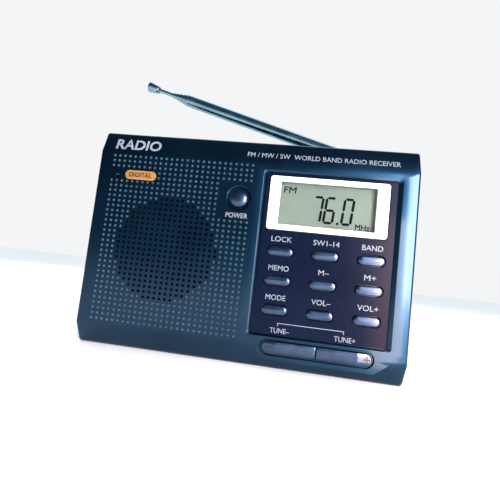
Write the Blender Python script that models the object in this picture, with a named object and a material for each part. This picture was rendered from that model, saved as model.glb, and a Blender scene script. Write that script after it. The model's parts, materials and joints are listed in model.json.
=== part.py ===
"""Pocket world-band receiver, built as an assembly of separate pieces.

The case stands upright on z = 0 with its keys facing -Y and the display on the +X side.
Sizes below are in millimetres; MM turns them into Blender's metres when a piece is made.
"""

import math

import bmesh
import bpy
from mathutils import Matrix, Vector

MM = 0.001

# ---------------------------------------------------------------- driving dimensions, mm
CASE_HALF_WIDTH = 71.8
CASE_HEIGHT = 99.2
FRONT_Y = -14.5
REAR_Y = 15.5
WALL = 2.0
SIDE_INNER = CASE_HALF_WIDTH - WALL
WALL_BACK_Y = FRONT_Y + WALL
HALF_SEAM = 0.15
EDGE_ROUND = 1.2
FOOT_RADIUS = 2.4
CROWN_RADIUS = 1.5
REAR_FOOT_RADIUS = 2.8
REAR_CROWN_RADIUS = 1.6

CHIN_CREASE_Z = 9.4
CHIN_FOOT_Y = -10.9
TOP_CREASE_Z = 89.2
TOP_EDGE_Y = -11.9

GROOVE_FRONT_Y = 3.2
GROOVE_FLOOR_Z = 91.0

PANEL_X = (6.8, 63.3)
PANEL_Z = (14.8, 84.8)
PANEL_DEPTH = 1.1
PANEL_FLOOR_Y = FRONT_Y + PANEL_DEPTH
PANEL_CORNER = 1.2
PANEL_GAP = 0.3
BEVEL_LOW = (1.1, 0.9)
BEVEL_HIGH = (1.7, 1.1)
BEVEL_DEPTH = 0.85
BEVEL_OVERRUN = 0.1
BEVEL_LEAD = 0.5

BEZEL_X = (9.1, 59.7)
BEZEL_Z = (59.7, 83.3)
GLASS_X = (13.75, 54.7)
GLASS_Z = (62.1, 81.1)

KEY_COLUMNS = (16.3, 35.3, 54.3)
KEY_ROWS = (50.3, 37.8, 25.3)
KEY_NAMES = (
    ("key_lock", "key_short_wave", "key_band"),
    ("key_memory", "key_memory_down", "key_memory_up"),
    ("key_mode", "key_volume_down", "key_volume_up"),
)
KEY_LENGTH = 11.0
KEY_HEIGHT = 4.0
KEY_FRONT_Y = -15.5
KEY_FLANGE_FRONT_Y = WALL_BACK_Y + 0.3
KEY_FLANGE_BACK_Y = KEY_FLANGE_FRONT_Y + 0.9
KEY_FLANGE_MARGIN = 1.0
KEY_HOLE_GAP = 0.3

POWER_X = -4.2
POWER_Z = 71.9
POWER_RADIUS = 4.0
POWER_DISH_RADIUS = 5.9
POWER_DISH_DEPTH = 1.1

TUNE_X = (12.7, 57.7)
TUNE_Z = 9.85
TUNE_RADIUS = 2.55
TUNE_GROOVE_GAP = 1.05
TUNE_GROOVE_DEPTH = 1.0
TUNE_SPLIT_X = 35.2
TUNE_SPLIT_GAP = 0.3
TUNE_FRONT_Y = -15.4

SPEAKER_X = -35.0
SPEAKER_Z = 45.9
SPEAKER_RADIUS = 26.0
GRILLE_RADIUS = 22.5
GRILLE_PITCH = 5.0
GRILLE_SLOT_HEIGHT = 2.4

BADGE_X = -50.8
BADGE_Z = 78.5
BADGE_LENGTH = 15.1
BADGE_HEIGHT = 4.3
LED_X = -62.3
LED_Z = 78.75

BAY_X = (14.6, 68.2)
BAY_Z = (8.0, 53.0)
BAY_FLOOR_Y = -2.2
TRAY_WALL = 1.6
CELL_RADIUS = 7.1
CELL_Y = 5.4
CELL_Z = (45.6, 30.5, 15.4)
CELL_BODY = 49.0
CELL_NUB = 1.1
DOOR_LIP_Y = 14.2
DOOR_GAP = 0.3
DOOR_TONGUE = 1.9

STAND_X = (-22.0, 9.0)
STAND_BOTTOM_Z = 16.4
STAND_HINGE_Y = 13.9
STAND_HINGE_Z = 63.0
STAND_BARREL_RADIUS = 1.3
STAND_PIN_RADIUS = 0.7

SCREW_PLACES = ((-65.0, 84.0), (63.5, 66.0), (-65.0, 9.0), (7.0, 9.0))
BOSS_RADIUS = 3.0
SCREW_SEAT_Y = 3.0

ANTENNA_X = 64.5
ANTENNA_Y = 8.5
ANTENNA_Z = 96.55
ANTENNA_TILT = math.radians(16.6)
ROD_RADII = (3.05, 2.65, 2.25, 1.85, 1.45, 1.05)
ROD_WALL = 0.25
ROD_START = 5.6
ROD_MAIN_END = 111.4
ROD_STEP = 2.1
ROD_THIN_END = 128.3
ROD_TIP_END = 134.7

JACK_Y = 7.0
JACK_PLACES = ((60.0, 3.0), (72.0, 3.3))
JACK_HALF = (3.8, 4.0)
JACK_BACK_X = -58.6

# flat pieces as lowest and highest corner
DISPLAY_WINDOW = ((13.2, -13.3, 61.5), (55.3, -12.3, 81.7))
LCD_GLASS = ((10.0, -11.9, 55.8), (58.5, -10.9, 84.6))
LIGHT_GUIDE = ((10.0, -10.6, 59.2), (58.5, -9.2, 84.6))
CONNECTOR_STRIP = ((11.0, -10.6, 56.2), (57.5, -9.2, 58.6))
KEY_MEMBRANE = ((10.5, -10.3, 6.3), (62.0, -9.2, 55.2))
KEY_BOARD = ((-8.6, -8.9, 6.0), (66.0, -7.3, 86.0))
MAIN_BOARD = ((-2.0, -2.6, 60.5), (58.0, -1.0, 85.0))
TUNER_CAN = ((8.0, -0.7, 63.5), (30.0, 5.6, 80.5))
POWER_SWITCH_HALF = 3.0

SPEAKER_LEAD_START = (-19.0, 1.0, 55.0)
SPEAKER_LEAD_END = (-3.0, -1.8, 74.0)
SPEAKER_LEAD_SAG = (2.2, 3.0)
SPEAKER_LEAD_RADIUS = 0.6
SPEAKER_LEAD_STEPS = 10

CAPACITOR_PLACE = (42.0, 74.0)
FERRITE_PLACE = (-4.5, 91.6)

ROUND_STEPS = 16


# ---------------------------------------------------------------- outlines in a plane
def arc(center, radius, start_deg, end_deg, steps):
    """Points along a circular arc, both ends included."""
    points = []
    for step in range(steps + 1):
        angle = math.radians(start_deg + (end_deg - start_deg) * step / steps)
        points.append((center[0] + radius * math.cos(angle), center[1] + radius * math.sin(angle)))
    return points


def rounded_rectangle(low, high, radius, steps=2):
    """Rectangle with rounded corners, as an anticlockwise outline."""
    outline = []
    outline += arc((high[0] - radius, high[1] - radius), radius, 0, 90, steps)
    outline += arc((low[0] + radius, high[1] - radius), radius, 90, 180, steps)
    outline += arc((low[0] + radius, low[1] + radius), radius, 180, 270, steps)
    outline += arc((high[0] - radius, low[1] + radius), radius, 270, 360, steps)
    return outline


def pill(center, length, height, grow=0.0, steps=5):
    """Outline with two half-round ends, grown by a margin all round."""
    radius = height / 2 + grow
    reach = (length - height) / 2
    outline = arc((center[0] + reach, center[1]), radius, -90, 90, steps)
    outline += arc((center[0] - reach, center[1]), radius, 90, 270, steps)
    return outline


def circle(center, radius, steps=ROUND_STEPS):
    """Full circle as a closed outline."""
    return arc(center, radius, 0, 360 - 360 / steps, steps - 1)


# ---------------------------------------------------------------- bodies in a bmesh
def axis_point(axis, along, first, second):
    """A point whose coordinate along the axis is given, the other two in X, Y, Z order."""
    if axis == "X":
        return Vector((along, first, second))
    if axis == "Y":
        return Vector((first, along, second))
    return Vector((first, second, along))


def add_prism(bm, outline, axis, start, end):
    """Fill an outline and extrude it along an axis."""
    verts = [bm.verts.new(axis_point(axis, start, first, second)) for first, second in outline]
    face = bm.faces.new(verts)
    result = bmesh.ops.extrude_face_region(bm, geom=[face])
    moved = [item for item in result["geom"] if isinstance(item, bmesh.types.BMVert)]
    bmesh.ops.translate(bm, verts=moved, vec=axis_point(axis, end - start, 0, 0))
    new_faces = {link for vert in verts + moved for link in vert.link_faces}
    bmesh.ops.recalc_face_normals(bm, faces=list(new_faces))


def add_box(bm, low, high):
    """Axis-aligned box between two corners."""
    size = [high[i] - low[i] for i in range(3)]
    middle = [(high[i] + low[i]) / 2 for i in range(3)]
    matrix = Matrix.Translation(middle) @ Matrix.Diagonal((*size, 1.0))
    bmesh.ops.create_cube(bm, size=1.0, matrix=matrix)


def add_turned(bm, profile, axis, middle, closed=False, steps=ROUND_STEPS):
    """Spin a (radius, along) profile round an axis through a middle point.

    An open profile starts and ends on the axis; a closed one is a ring's cross-section.
    """
    verts = [bm.verts.new(axis_point(axis, along, middle[0] + radius, middle[1]))
             for radius, along in profile]
    edges = [bm.edges.new(pair) for pair in zip(verts, verts[1:])]
    if closed:
        edges.append(bm.edges.new((verts[-1], verts[0])))
    before = set(bm.faces)
    bmesh.ops.spin(
        bm, geom=verts + edges, cent=axis_point(axis, 0, *middle), axis=axis_point(axis, 1, 0, 0),
        angle=2 * math.pi, steps=steps, use_merge=True,
    )
    fresh = [face for face in bm.faces if face not in before]
    ring_verts = list({vert for face in fresh for vert in face.verts})
    bmesh.ops.remove_doubles(bm, verts=ring_verts, dist=0.01)
    fresh = [face for face in bm.faces if face not in before]
    bmesh.ops.recalc_face_normals(bm, faces=fresh)


# ---------------------------------------------------------------- objects
def clear_scene():
    """Remove every object of the start-up scene."""
    for item in list(bpy.data.objects):
        bpy.data.objects.remove(item, do_unlink=True)


def finish(name, base_color, roughness, metallic=0.0, alpha=1.0):
    """Principled material; the base colour is linear."""
    material = bpy.data.materials.new(name)
    material.use_nodes = True
    shader = material.node_tree.nodes["Principled BSDF"]
    shader.inputs["Base Color"].default_value = (*base_color, 1.0)
    shader.inputs["Roughness"].default_value = roughness
    shader.inputs["Metallic"].default_value = metallic
    shader.inputs["Alpha"].default_value = alpha
    return material


def to_mesh(name, bm, origin):
    """Turn a millimetre bmesh into a mesh in metres round an origin."""
    bmesh.ops.translate(bm, verts=bm.verts, vec=-Vector(origin))
    bmesh.ops.scale(bm, verts=bm.verts, vec=(MM, MM, MM))
    mesh = bpy.data.meshes.new(name)
    bm.to_mesh(mesh)
    bm.free()
    mesh.shade_smooth()
    mesh.set_sharp_from_angle(angle=math.radians(30))
    return mesh


def add_piece(name, bm, material, origin=(0.0, 0.0, 0.0), parent=None):
    """Make a named piece, its origin at a millimetre point of its parent."""
    mesh = to_mesh(name, bm, origin)
    mesh.materials.append(material)
    piece = bpy.data.objects.new(name, mesh)
    piece.location = Vector(origin) * MM
    piece.parent = parent
    bpy.context.scene.collection.objects.link(piece)
    return piece


def shape(target, operation, name, bm):
    """Union or cut a piece with a hidden tool body through a Boolean modifier."""
    tool = bpy.data.objects.new(name, to_mesh(name, bm, (0.0, 0.0, 0.0)))
    tool.hide_render = True
    tool.display_type = "WIRE"
    bpy.context.scene.collection.objects.link(tool)
    modifier = target.modifiers.new(name, "BOOLEAN")
    modifier.operation = operation
    modifier.solver = "EXACT"
    modifier.object = tool


def split_faces(piece):
    """Split the many-sided faces left by the Booleans into well-shaped triangles."""
    modifier = piece.modifiers.new("even_triangles", "TRIANGULATE")
    modifier.quad_method = "BEAUTY"
    modifier.ngon_method = "BEAUTY"


def round_side_edges(bm, offset):
    """Round the outline of both end faces of a case half, apart from its open seam."""
    edges = []
    for edge in bm.edges:
        at_end = all(abs(abs(vert.co.x) - CASE_HALF_WIDTH) < 0.01 for vert in edge.verts)
        on_seam = all(abs(vert.co.y) < HALF_SEAM + 0.01 for vert in edge.verts)
        if at_end and not on_seam:
            edges.append(edge)
    bmesh.ops.bevel(bm, geom=edges, offset=offset, segments=2, profile=0.5, affect="EDGES")


# ---------------------------------------------------------------- case
def front_outline():
    """Outer (y, z) outline of the front half: chin, flat face and slanted top band."""
    outline = [(-HALF_SEAM, 0.0)]
    outline += arc((CHIN_FOOT_Y + FOOT_RADIUS, FOOT_RADIUS), FOOT_RADIUS, 270, 205, 3)
    outline += [(FRONT_Y, CHIN_CREASE_Z), (FRONT_Y, TOP_CREASE_Z)]
    outline += arc((TOP_EDGE_Y + CROWN_RADIUS, CASE_HEIGHT - CROWN_RADIUS), CROWN_RADIUS, 165, 90, 2)
    outline += [(-HALF_SEAM, CASE_HEIGHT)]
    return outline


def front_cavity_outline():
    """Inner (y, z) outline of the front half, a wall thickness inside the outer one."""
    return [
        (2.0, WALL), (-8.6, WALL), (WALL_BACK_Y, 10.2), (WALL_BACK_Y, 88.4),
        (-10.2, CASE_HEIGHT - WALL), (2.0, CASE_HEIGHT - WALL),
    ]


def chin_platform_outline():
    """(x, z) outline of the flat apron that carries the face down round the tuning keys."""
    return [(10.1, 10.0), (10.6, 8.0), (12.4, 5.7), (15.3, 4.5), (58.8, 4.5), (65.4, 10.0)]


def bevel_outline(depth):
    """Outline of the bevel round the keypad panel at a depth below the face."""
    share = 1 - depth / BEVEL_DEPTH
    low = (PANEL_X[0] - BEVEL_LOW[0] * share, PANEL_Z[0] - BEVEL_LOW[1] * share)
    high = (PANEL_X[1] + BEVEL_HIGH[0] * share, PANEL_Z[1] + BEVEL_HIGH[1] * share)
    return rounded_rectangle(low, high, PANEL_CORNER)


def panel_bevel():
    """Tapered cutter that slopes the face down to the panel's recess."""
    bm = bmesh.new()
    rings = []
    for depth in (-BEVEL_LEAD, BEVEL_DEPTH + BEVEL_OVERRUN):
        rings.append([bm.verts.new(axis_point("Y", FRONT_Y + depth, x, z)) for x, z in bevel_outline(depth)])
    count = len(rings[0])
    for index in range(count):
        following = (index + 1) % count
        bm.faces.new((rings[0][index], rings[0][following], rings[1][following], rings[1][index]))
    for ring in rings:
        bm.faces.new(ring)
    bmesh.ops.recalc_face_normals(bm, faces=bm.faces)
    return bm


def grille_slots():
    """(middle, length) of the horizontal speaker slots that fill a circle."""
    reach = int(GRILLE_RADIUS // GRILLE_PITCH)
    slots = []
    for row in range(-reach, reach + 1):
        dz = row * GRILLE_PITCH
        half = math.sqrt(GRILLE_RADIUS ** 2 - dz ** 2)
        slots.append(((SPEAKER_X, SPEAKER_Z + dz), 2 * half))
    return slots


def tune_outline(low_x, high_x, grow):
    """Outline of the tuning bar, or of the half of it between two x values, grown by a margin."""
    radius = TUNE_RADIUS + grow
    full_low, full_high = TUNE_X[0] + TUNE_RADIUS, TUNE_X[1] - TUNE_RADIUS
    outline = []
    if high_x >= TUNE_X[1]:
        outline += arc((full_high, TUNE_Z), radius, -90, 90, 6)
    else:
        outline += [(high_x + grow, TUNE_Z - radius), (high_x + grow, TUNE_Z + radius)]
    if low_x <= TUNE_X[0]:
        outline += arc((full_low, TUNE_Z), radius, 90, 270, 6)
    else:
        outline += [(low_x - grow, TUNE_Z + radius), (low_x - grow, TUNE_Z - radius)]
    return outline


def front_additions():
    """Bodies joined to the front half inside: screw bosses and the speaker's ring wall."""
    bm = bmesh.new()
    for x, z in SCREW_PLACES:
        add_turned(bm, [(0, WALL_BACK_Y - 0.5), (BOSS_RADIUS, WALL_BACK_Y - 0.5), (BOSS_RADIUS, -1.6), (0, -1.6)],
                   "Y", (x, z), steps=12)
    ring = [(SPEAKER_RADIUS + 0.4, WALL_BACK_Y - 0.5), (SPEAKER_RADIUS + 0.4, -9.5),
            (SPEAKER_RADIUS + 1.8, -9.5), (SPEAKER_RADIUS + 1.8, WALL_BACK_Y - 0.5)]
    add_turned(bm, ring, "Y", (SPEAKER_X, SPEAKER_Z), closed=True, steps=24)
    return bm


def front_openings():
    """Cutters for the panel recess, display, keys, power dish, tuning groove, badge and LED."""
    bm = bmesh.new()
    through = (FRONT_Y - 2.0, WALL_BACK_Y + 1.0)
    add_prism(bm, rounded_rectangle((12.9, 61.2), (55.6, 82.0), 0.5), "Y", *through)
    for x in KEY_COLUMNS:
        for z in KEY_ROWS:
            add_prism(bm, pill((x, z), KEY_LENGTH, KEY_HEIGHT, KEY_HOLE_GAP), "Y", *through)
    add_prism(bm, circle((LED_X, LED_Z), 1.2, 10), "Y", *through)
    for x, z in SCREW_PLACES:
        add_prism(bm, circle((x, z), 1.35, 10), "Y", -10.5, 0.0)
    add_prism(bm, pill((BADGE_X, BADGE_Z), BADGE_LENGTH, BADGE_HEIGHT, 0.3), "Y", FRONT_Y - 1.0, FRONT_Y + 0.6)
    return bm


def front_cabinet(material):
    """Front half of the case with its face, openings and inside posts."""
    bm = bmesh.new()
    add_prism(bm, front_outline(), "X", -CASE_HALF_WIDTH, CASE_HALF_WIDTH)
    round_side_edges(bm, EDGE_ROUND)
    piece = add_piece("front_cabinet", bm, material)

    bm = bmesh.new()
    add_prism(bm, chin_platform_outline(), "Y", FRONT_Y, -9.0)
    shape(piece, "UNION", "chin_platform_tool", bm)

    bm = bmesh.new()
    add_prism(bm, front_cavity_outline(), "X", -SIDE_INNER, SIDE_INNER)
    shape(piece, "DIFFERENCE", "front_cavity_tool", bm)
    bm = bmesh.new()
    add_box(bm, (11.0, WALL_BACK_Y, 5.9), (60.0, -7.5, 14.0))
    shape(piece, "DIFFERENCE", "tune_pocket_tool", bm)
    shape(piece, "UNION", "front_posts_tool", front_additions())

    shape(piece, "DIFFERENCE", "panel_bevel_tool", panel_bevel())
    bm = bmesh.new()
    panel = rounded_rectangle((PANEL_X[0], PANEL_Z[0]), (PANEL_X[1], PANEL_Z[1]), PANEL_CORNER)
    add_prism(bm, panel, "Y", FRONT_Y - 2.0, PANEL_FLOOR_Y)
    add_prism(bm, circle((POWER_X, POWER_Z), POWER_DISH_RADIUS, 24), "Y", FRONT_Y - 1.0, FRONT_Y + POWER_DISH_DEPTH)
    groove = tune_outline(*TUNE_X, TUNE_GROOVE_GAP)
    add_prism(bm, groove, "Y", FRONT_Y - 1.0, FRONT_Y + TUNE_GROOVE_DEPTH)
    shape(piece, "DIFFERENCE", "face_recess_tool", bm)

    shape(piece, "DIFFERENCE", "front_openings_tool", front_openings())
    bm = bmesh.new()
    through = (FRONT_Y - 2.0, WALL_BACK_Y + 1.0)
    add_prism(bm, circle((POWER_X, POWER_Z), POWER_RADIUS + KEY_HOLE_GAP, 24), "Y", *through)
    add_prism(bm, tune_outline(*TUNE_X, KEY_HOLE_GAP), "Y", *through)
    for middle, length in grille_slots():
        add_prism(bm, pill(middle, length, GRILLE_SLOT_HEIGHT, steps=3), "Y", *through)
    shape(piece, "DIFFERENCE", "key_hole_tool", bm)
    split_faces(piece)
    return piece


def rear_outline():
    """Outer (y, z) outline of the rear half with the antenna groove along its top edge."""
    outline = [(HALF_SEAM, 0.0)]
    outline += arc((REAR_Y - REAR_FOOT_RADIUS, REAR_FOOT_RADIUS), REAR_FOOT_RADIUS, 270, 360, 3)
    outline += arc((REAR_Y - REAR_CROWN_RADIUS, GROOVE_FLOOR_Z - REAR_CROWN_RADIUS), REAR_CROWN_RADIUS, 0, 90, 2)
    outline += [(GROOVE_FRONT_Y, GROOVE_FLOOR_Z), (GROOVE_FRONT_Y, CASE_HEIGHT), (HALF_SEAM, CASE_HEIGHT)]
    return outline


def rear_cavity_outline():
    """Inner (y, z) outline of the rear half."""
    wall_y = REAR_Y - 2.2
    floor_z = GROOVE_FLOOR_Z - WALL
    return [
        (-2.0, WALL), (wall_y, WALL), (wall_y, floor_z), (GROOVE_FRONT_Y - WALL, floor_z),
        (GROOVE_FRONT_Y - WALL, CASE_HEIGHT - WALL), (-2.0, CASE_HEIGHT - WALL),
    ]


def rear_cabinet(material):
    """Rear half: battery bay, kickstand recess, screw wells, antenna hole and jack holes."""
    bm = bmesh.new()
    add_prism(bm, rear_outline(), "X", -CASE_HALF_WIDTH, CASE_HALF_WIDTH)
    round_side_edges(bm, EDGE_ROUND)
    piece = add_piece("rear_cabinet", bm, material)

    bm = bmesh.new()
    add_prism(bm, rear_cavity_outline(), "X", -SIDE_INNER, SIDE_INNER)
    shape(piece, "DIFFERENCE", "rear_cavity_tool", bm)

    bm = bmesh.new()
    tray_low = (BAY_X[0] - TRAY_WALL, BAY_FLOOR_Y - TRAY_WALL, BAY_Z[0] - 3.4)
    tray_high = (SIDE_INNER - 0.3, REAR_Y - 1.8, BAY_Z[1] + 3.4)
    add_box(bm, tray_low, tray_high)
    shape(piece, "UNION", "battery_tray_tool", bm)
    bm = bmesh.new()
    add_box(bm, (BAY_X[1], 0.6, tray_low[2]), (SIDE_INNER + 0.5, REAR_Y - 1.8, tray_high[2]))
    shape(piece, "UNION", "tray_side_tool", bm)
    bm = bmesh.new()
    add_box(bm, (STAND_X[0] - 3.6, 10.0, STAND_BOTTOM_Z - 4.6), (STAND_X[1] + 3.6, REAR_Y - 1.8, 68.0))
    shape(piece, "UNION", "stand_block_tool", bm)
    bm = bmesh.new()
    for x, z in SCREW_PLACES:
        boss = [(0, -1.3), (BOSS_RADIUS + 0.4, -1.3), (BOSS_RADIUS + 0.4, REAR_Y - 1.0), (0, REAR_Y - 1.0)]
        add_turned(bm, boss, "Y", (x, z), steps=12)
    shape(piece, "UNION", "rear_boss_tool", bm)

    bm = bmesh.new()
    add_box(bm, (BAY_X[0], BAY_FLOOR_Y, BAY_Z[0]), (BAY_X[1], 20.0, BAY_Z[1]))
    for x, z in SCREW_PLACES:
        well = [(0, -2.0), (1.45, -2.0), (1.45, SCREW_SEAT_Y), (2.8, SCREW_SEAT_Y), (2.8, 20.0), (0, 20.0)]
        add_turned(bm, well, "Y", (x, z), steps=12)
    add_prism(bm, circle((ANTENNA_X, ANTENNA_Y), 4.3, 20), "Z", GROOVE_FLOOR_Z - 4.0, GROOVE_FLOOR_Z + 2.0)
    for z, radius in JACK_PLACES:
        add_prism(bm, circle((JACK_Y, z), radius + 0.3), "X", -80.0, -SIDE_INNER + 1.0)
    shape(piece, "DIFFERENCE", "rear_openings_tool", bm)

    bm = bmesh.new()
    add_box(bm, (BAY_X[0] - 0.9, DOOR_LIP_Y - 1.2 - DOOR_GAP, BAY_Z[0] - DOOR_TONGUE - DOOR_GAP),
            (80.0, DOOR_LIP_Y + DOOR_GAP, BAY_Z[1] + DOOR_TONGUE + DOOR_GAP))
    shape(piece, "DIFFERENCE", "door_slot_tool", bm)
    bm = bmesh.new()
    add_box(bm, (BAY_X[0] - 0.9, DOOR_LIP_Y - 0.5, BAY_Z[0]), (80.0, 20.0, BAY_Z[1]))
    shape(piece, "DIFFERENCE", "door_mouth_tool", bm)

    bm = bmesh.new()
    add_box(bm, (STAND_X[0] - 0.4, 12.9, STAND_BOTTOM_Z - 0.4), (STAND_X[1] + 0.4, 20.0, STAND_HINGE_Z + 2.0))
    shape(piece, "DIFFERENCE", "stand_recess_tool", bm)
    bm = bmesh.new()
    add_box(bm, (STAND_X[0] - 0.4, 12.0, STAND_HINGE_Z - 2.6), (STAND_X[1] + 0.4, 20.0, STAND_HINGE_Z + 1.9))
    add_box(bm, (-11.0, 13.4, STAND_BOTTOM_Z - 3.6), (-2.0, 20.0, STAND_BOTTOM_Z))
    shape(piece, "DIFFERENCE", "stand_hinge_tool", bm)
    bm = bmesh.new()
    add_prism(bm, circle((STAND_HINGE_Y, STAND_HINGE_Z), STAND_PIN_RADIUS + 0.15, 12), "X",
              STAND_X[0] - 2.6, STAND_X[1] + 2.6)
    shape(piece, "DIFFERENCE", "stand_pin_tool", bm)
    split_faces(piece)
    return piece


# ---------------------------------------------------------------- battery compartment
def battery_door(material):
    """Sliding door: a tongue behind the case lips and an outer plate flush with the rear face."""
    bm = bmesh.new()
    low_x = BAY_X[0] - 0.6
    add_box(bm, (low_x, DOOR_LIP_Y - 1.2, BAY_Z[0] - DOOR_TONGUE), (71.3, DOOR_LIP_Y, BAY_Z[1] + DOOR_TONGUE))
    piece = add_piece("battery_door", bm, material)
    bm = bmesh.new()
    plate = [(low_x, DOOR_LIP_Y - 0.4), (CASE_HALF_WIDTH, DOOR_LIP_Y - 0.4)]
    plate += arc((CASE_HALF_WIDTH - 1.2, REAR_Y - 1.2), 1.2, 0, 90, 2)
    plate += [(low_x, REAR_Y)]
    add_prism(bm, plate, "Z", BAY_Z[0] + DOOR_GAP, BAY_Z[1] - DOOR_GAP)
    shape(piece, "UNION", "door_plate_tool", bm)
    bm = bmesh.new()
    for index in range(4):
        x = CASE_HALF_WIDTH - 12.0 + index * 2.4
        add_box(bm, (x, REAR_Y - 0.5, 20.0), (x + 1.0, REAR_Y + 1.0, 41.0))
    shape(piece, "DIFFERENCE", "door_grip_tool", bm)
    return piece


def battery_cell(name, z, nub_side, material):
    """AA cell lying along X, its positive nub towards nub_side (-1 left, +1 right)."""
    middle = (BAY_X[0] + BAY_X[1]) / 2
    half = CELL_BODY / 2
    profile = [(0, -half), (CELL_RADIUS - 0.6, -half), (CELL_RADIUS, -half + 0.6), (CELL_RADIUS, half - 0.6),
               (CELL_RADIUS - 0.6, half), (2.7, half), (2.7, half + CELL_NUB), (0, half + CELL_NUB)]
    profile = [(radius, middle + nub_side * along) for radius, along in profile]
    bm = bmesh.new()
    add_turned(bm, profile, "X", (CELL_Y, z), steps=20)
    return add_piece(name, bm, material)


def battery_contact(name, side, z_low, z_high, spring_z, material):
    """Contact plate at one end of the bay, with a conical spring pad where a cell's base rests."""
    wall_x = BAY_X[0] + 0.2 if side < 0 else BAY_X[1] - 0.2
    inner_x = wall_x - side * 0.4
    bm = bmesh.new()
    add_box(bm, (min(wall_x, inner_x), CELL_Y - 4.0, z_low), (max(wall_x, inner_x), CELL_Y + 4.0, z_high))
    piece = add_piece(name, bm, material)
    if spring_z is not None:
        bm = bmesh.new()
        start, end = inner_x + side * 0.2, inner_x - side * 1.0
        add_turned(bm, [(0, start), (3.4, start), (2.4, end), (0, end)], "X", (CELL_Y, spring_z), steps=12)
        shape(piece, "UNION", name + "_tool", bm)
    return piece


# ---------------------------------------------------------------- kickstand and screws
def kickstand(material):
    """Rear stand plate hanging from its hinge barrel; it swings out at the bottom."""
    bm = bmesh.new()
    outline = rounded_rectangle((STAND_X[0], STAND_BOTTOM_Z), (STAND_X[1], STAND_HINGE_Z - 0.2), 2.0)
    add_prism(bm, outline, "Y", 13.2, 15.3)
    origin = (0.0, STAND_HINGE_Y, STAND_HINGE_Z)
    piece = add_piece("kickstand", bm, material, origin)
    bm = bmesh.new()
    add_prism(bm, circle((STAND_HINGE_Y, STAND_HINGE_Z), STAND_BARREL_RADIUS, 12), "X",
              STAND_X[0] + 0.1, STAND_X[1] - 0.1)
    shape(piece, "UNION", "stand_barrel_tool", bm)
    bm = bmesh.new()
    add_prism(bm, circle((STAND_HINGE_Y, STAND_HINGE_Z), STAND_PIN_RADIUS + 0.15, 12), "X",
              STAND_X[0] - 2.0, STAND_X[1] + 2.0)
    add_box(bm, (-17.0, 14.6, 24.0), (4.0, 16.0, 52.0))
    shape(piece, "DIFFERENCE", "stand_bore_tool", bm)
    return piece


def kickstand_pin(material):
    """Steel hinge pin held in the case on both sides of the stand."""
    bm = bmesh.new()
    add_prism(bm, circle((STAND_HINGE_Y, STAND_HINGE_Z), STAND_PIN_RADIUS, 12), "X",
              STAND_X[0] - 2.3, STAND_X[1] + 2.3)
    return add_piece("kickstand_pin", bm, material)


def case_screw(name, x, z, material):
    """Self-tapping screw from the rear: pan head in its well and a cross recess."""
    bm = bmesh.new()
    seat = SCREW_SEAT_Y + 0.15
    profile = [(0, -9.0), (0.6, -8.4), (1.1, -7.4), (1.1, seat), (2.4, seat), (2.4, seat + 1.0),
               (1.7, seat + 1.7), (0, seat + 1.7)]
    add_turned(bm, profile, "Y", (x, z), steps=12)
    piece = add_piece(name, bm, material)
    bm = bmesh.new()
    cross = [(0.3, 0.3), (0.3, 1.4), (-0.3, 1.4), (-0.3, 0.3), (-1.4, 0.3), (-1.4, -0.3),
             (-0.3, -0.3), (-0.3, -1.4), (0.3, -1.4), (0.3, -0.3), (1.4, -0.3), (1.4, 0.3)]
    add_prism(bm, [(x + dx, z + dz) for dx, dz in cross], "Y", seat + 0.8, seat + 3.0)
    shape(piece, "DIFFERENCE", name + "_tool", bm)
    return piece


# ---------------------------------------------------------------- keypad and display
def keypad_panel(material):
    """Thin glossy panel in its recess, open for the display bezel and the nine keys."""
    bm = bmesh.new()
    outline = rounded_rectangle((PANEL_X[0] + PANEL_GAP, PANEL_Z[0] + PANEL_GAP),
                                (PANEL_X[1] - PANEL_GAP, PANEL_Z[1] - PANEL_GAP), PANEL_CORNER - 0.2)
    add_prism(bm, outline, "Y", FRONT_Y + 0.05, PANEL_FLOOR_Y - 0.2)
    piece = add_piece("keypad_panel", bm, material)
    bm = bmesh.new()
    opening = rounded_rectangle((BEZEL_X[0] - 0.3, BEZEL_Z[0] - 0.3), (BEZEL_X[1] + 0.3, BEZEL_Z[1] + 0.3), 1.4)
    add_prism(bm, opening, "Y", FRONT_Y - 2.0, PANEL_FLOOR_Y + 2.0)
    for x in KEY_COLUMNS:
        for z in KEY_ROWS:
            hole = pill((x, z), KEY_LENGTH, KEY_HEIGHT, KEY_HOLE_GAP)
            add_prism(bm, hole, "Y", FRONT_Y - 2.0, PANEL_FLOOR_Y + 2.0)
    shape(piece, "DIFFERENCE", "panel_openings_tool", bm)
    split_faces(piece)
    return piece


def display_bezel(material):
    """White frame round the display, a little proud of the panel."""
    bm = bmesh.new()
    outline = rounded_rectangle((BEZEL_X[0], BEZEL_Z[0]), (BEZEL_X[1], BEZEL_Z[1]), 1.2)
    add_prism(bm, outline, "Y", FRONT_Y - 0.35, PANEL_FLOOR_Y - 0.25)
    piece = add_piece("display_bezel", bm, material)
    bm = bmesh.new()
    opening = rounded_rectangle((GLASS_X[0], GLASS_Z[0]), (GLASS_X[1], GLASS_Z[1]), 0.4)
    add_prism(bm, opening, "Y", FRONT_Y - 3.0, FRONT_Y + 3.0)
    shape(piece, "DIFFERENCE", "bezel_opening_tool", bm)
    return piece


def plate(name, low, high, material):
    """Flat rectangular piece such as a glass, a guide or a board."""
    bm = bmesh.new()
    add_box(bm, low, high)
    return add_piece(name, bm, material)


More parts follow.
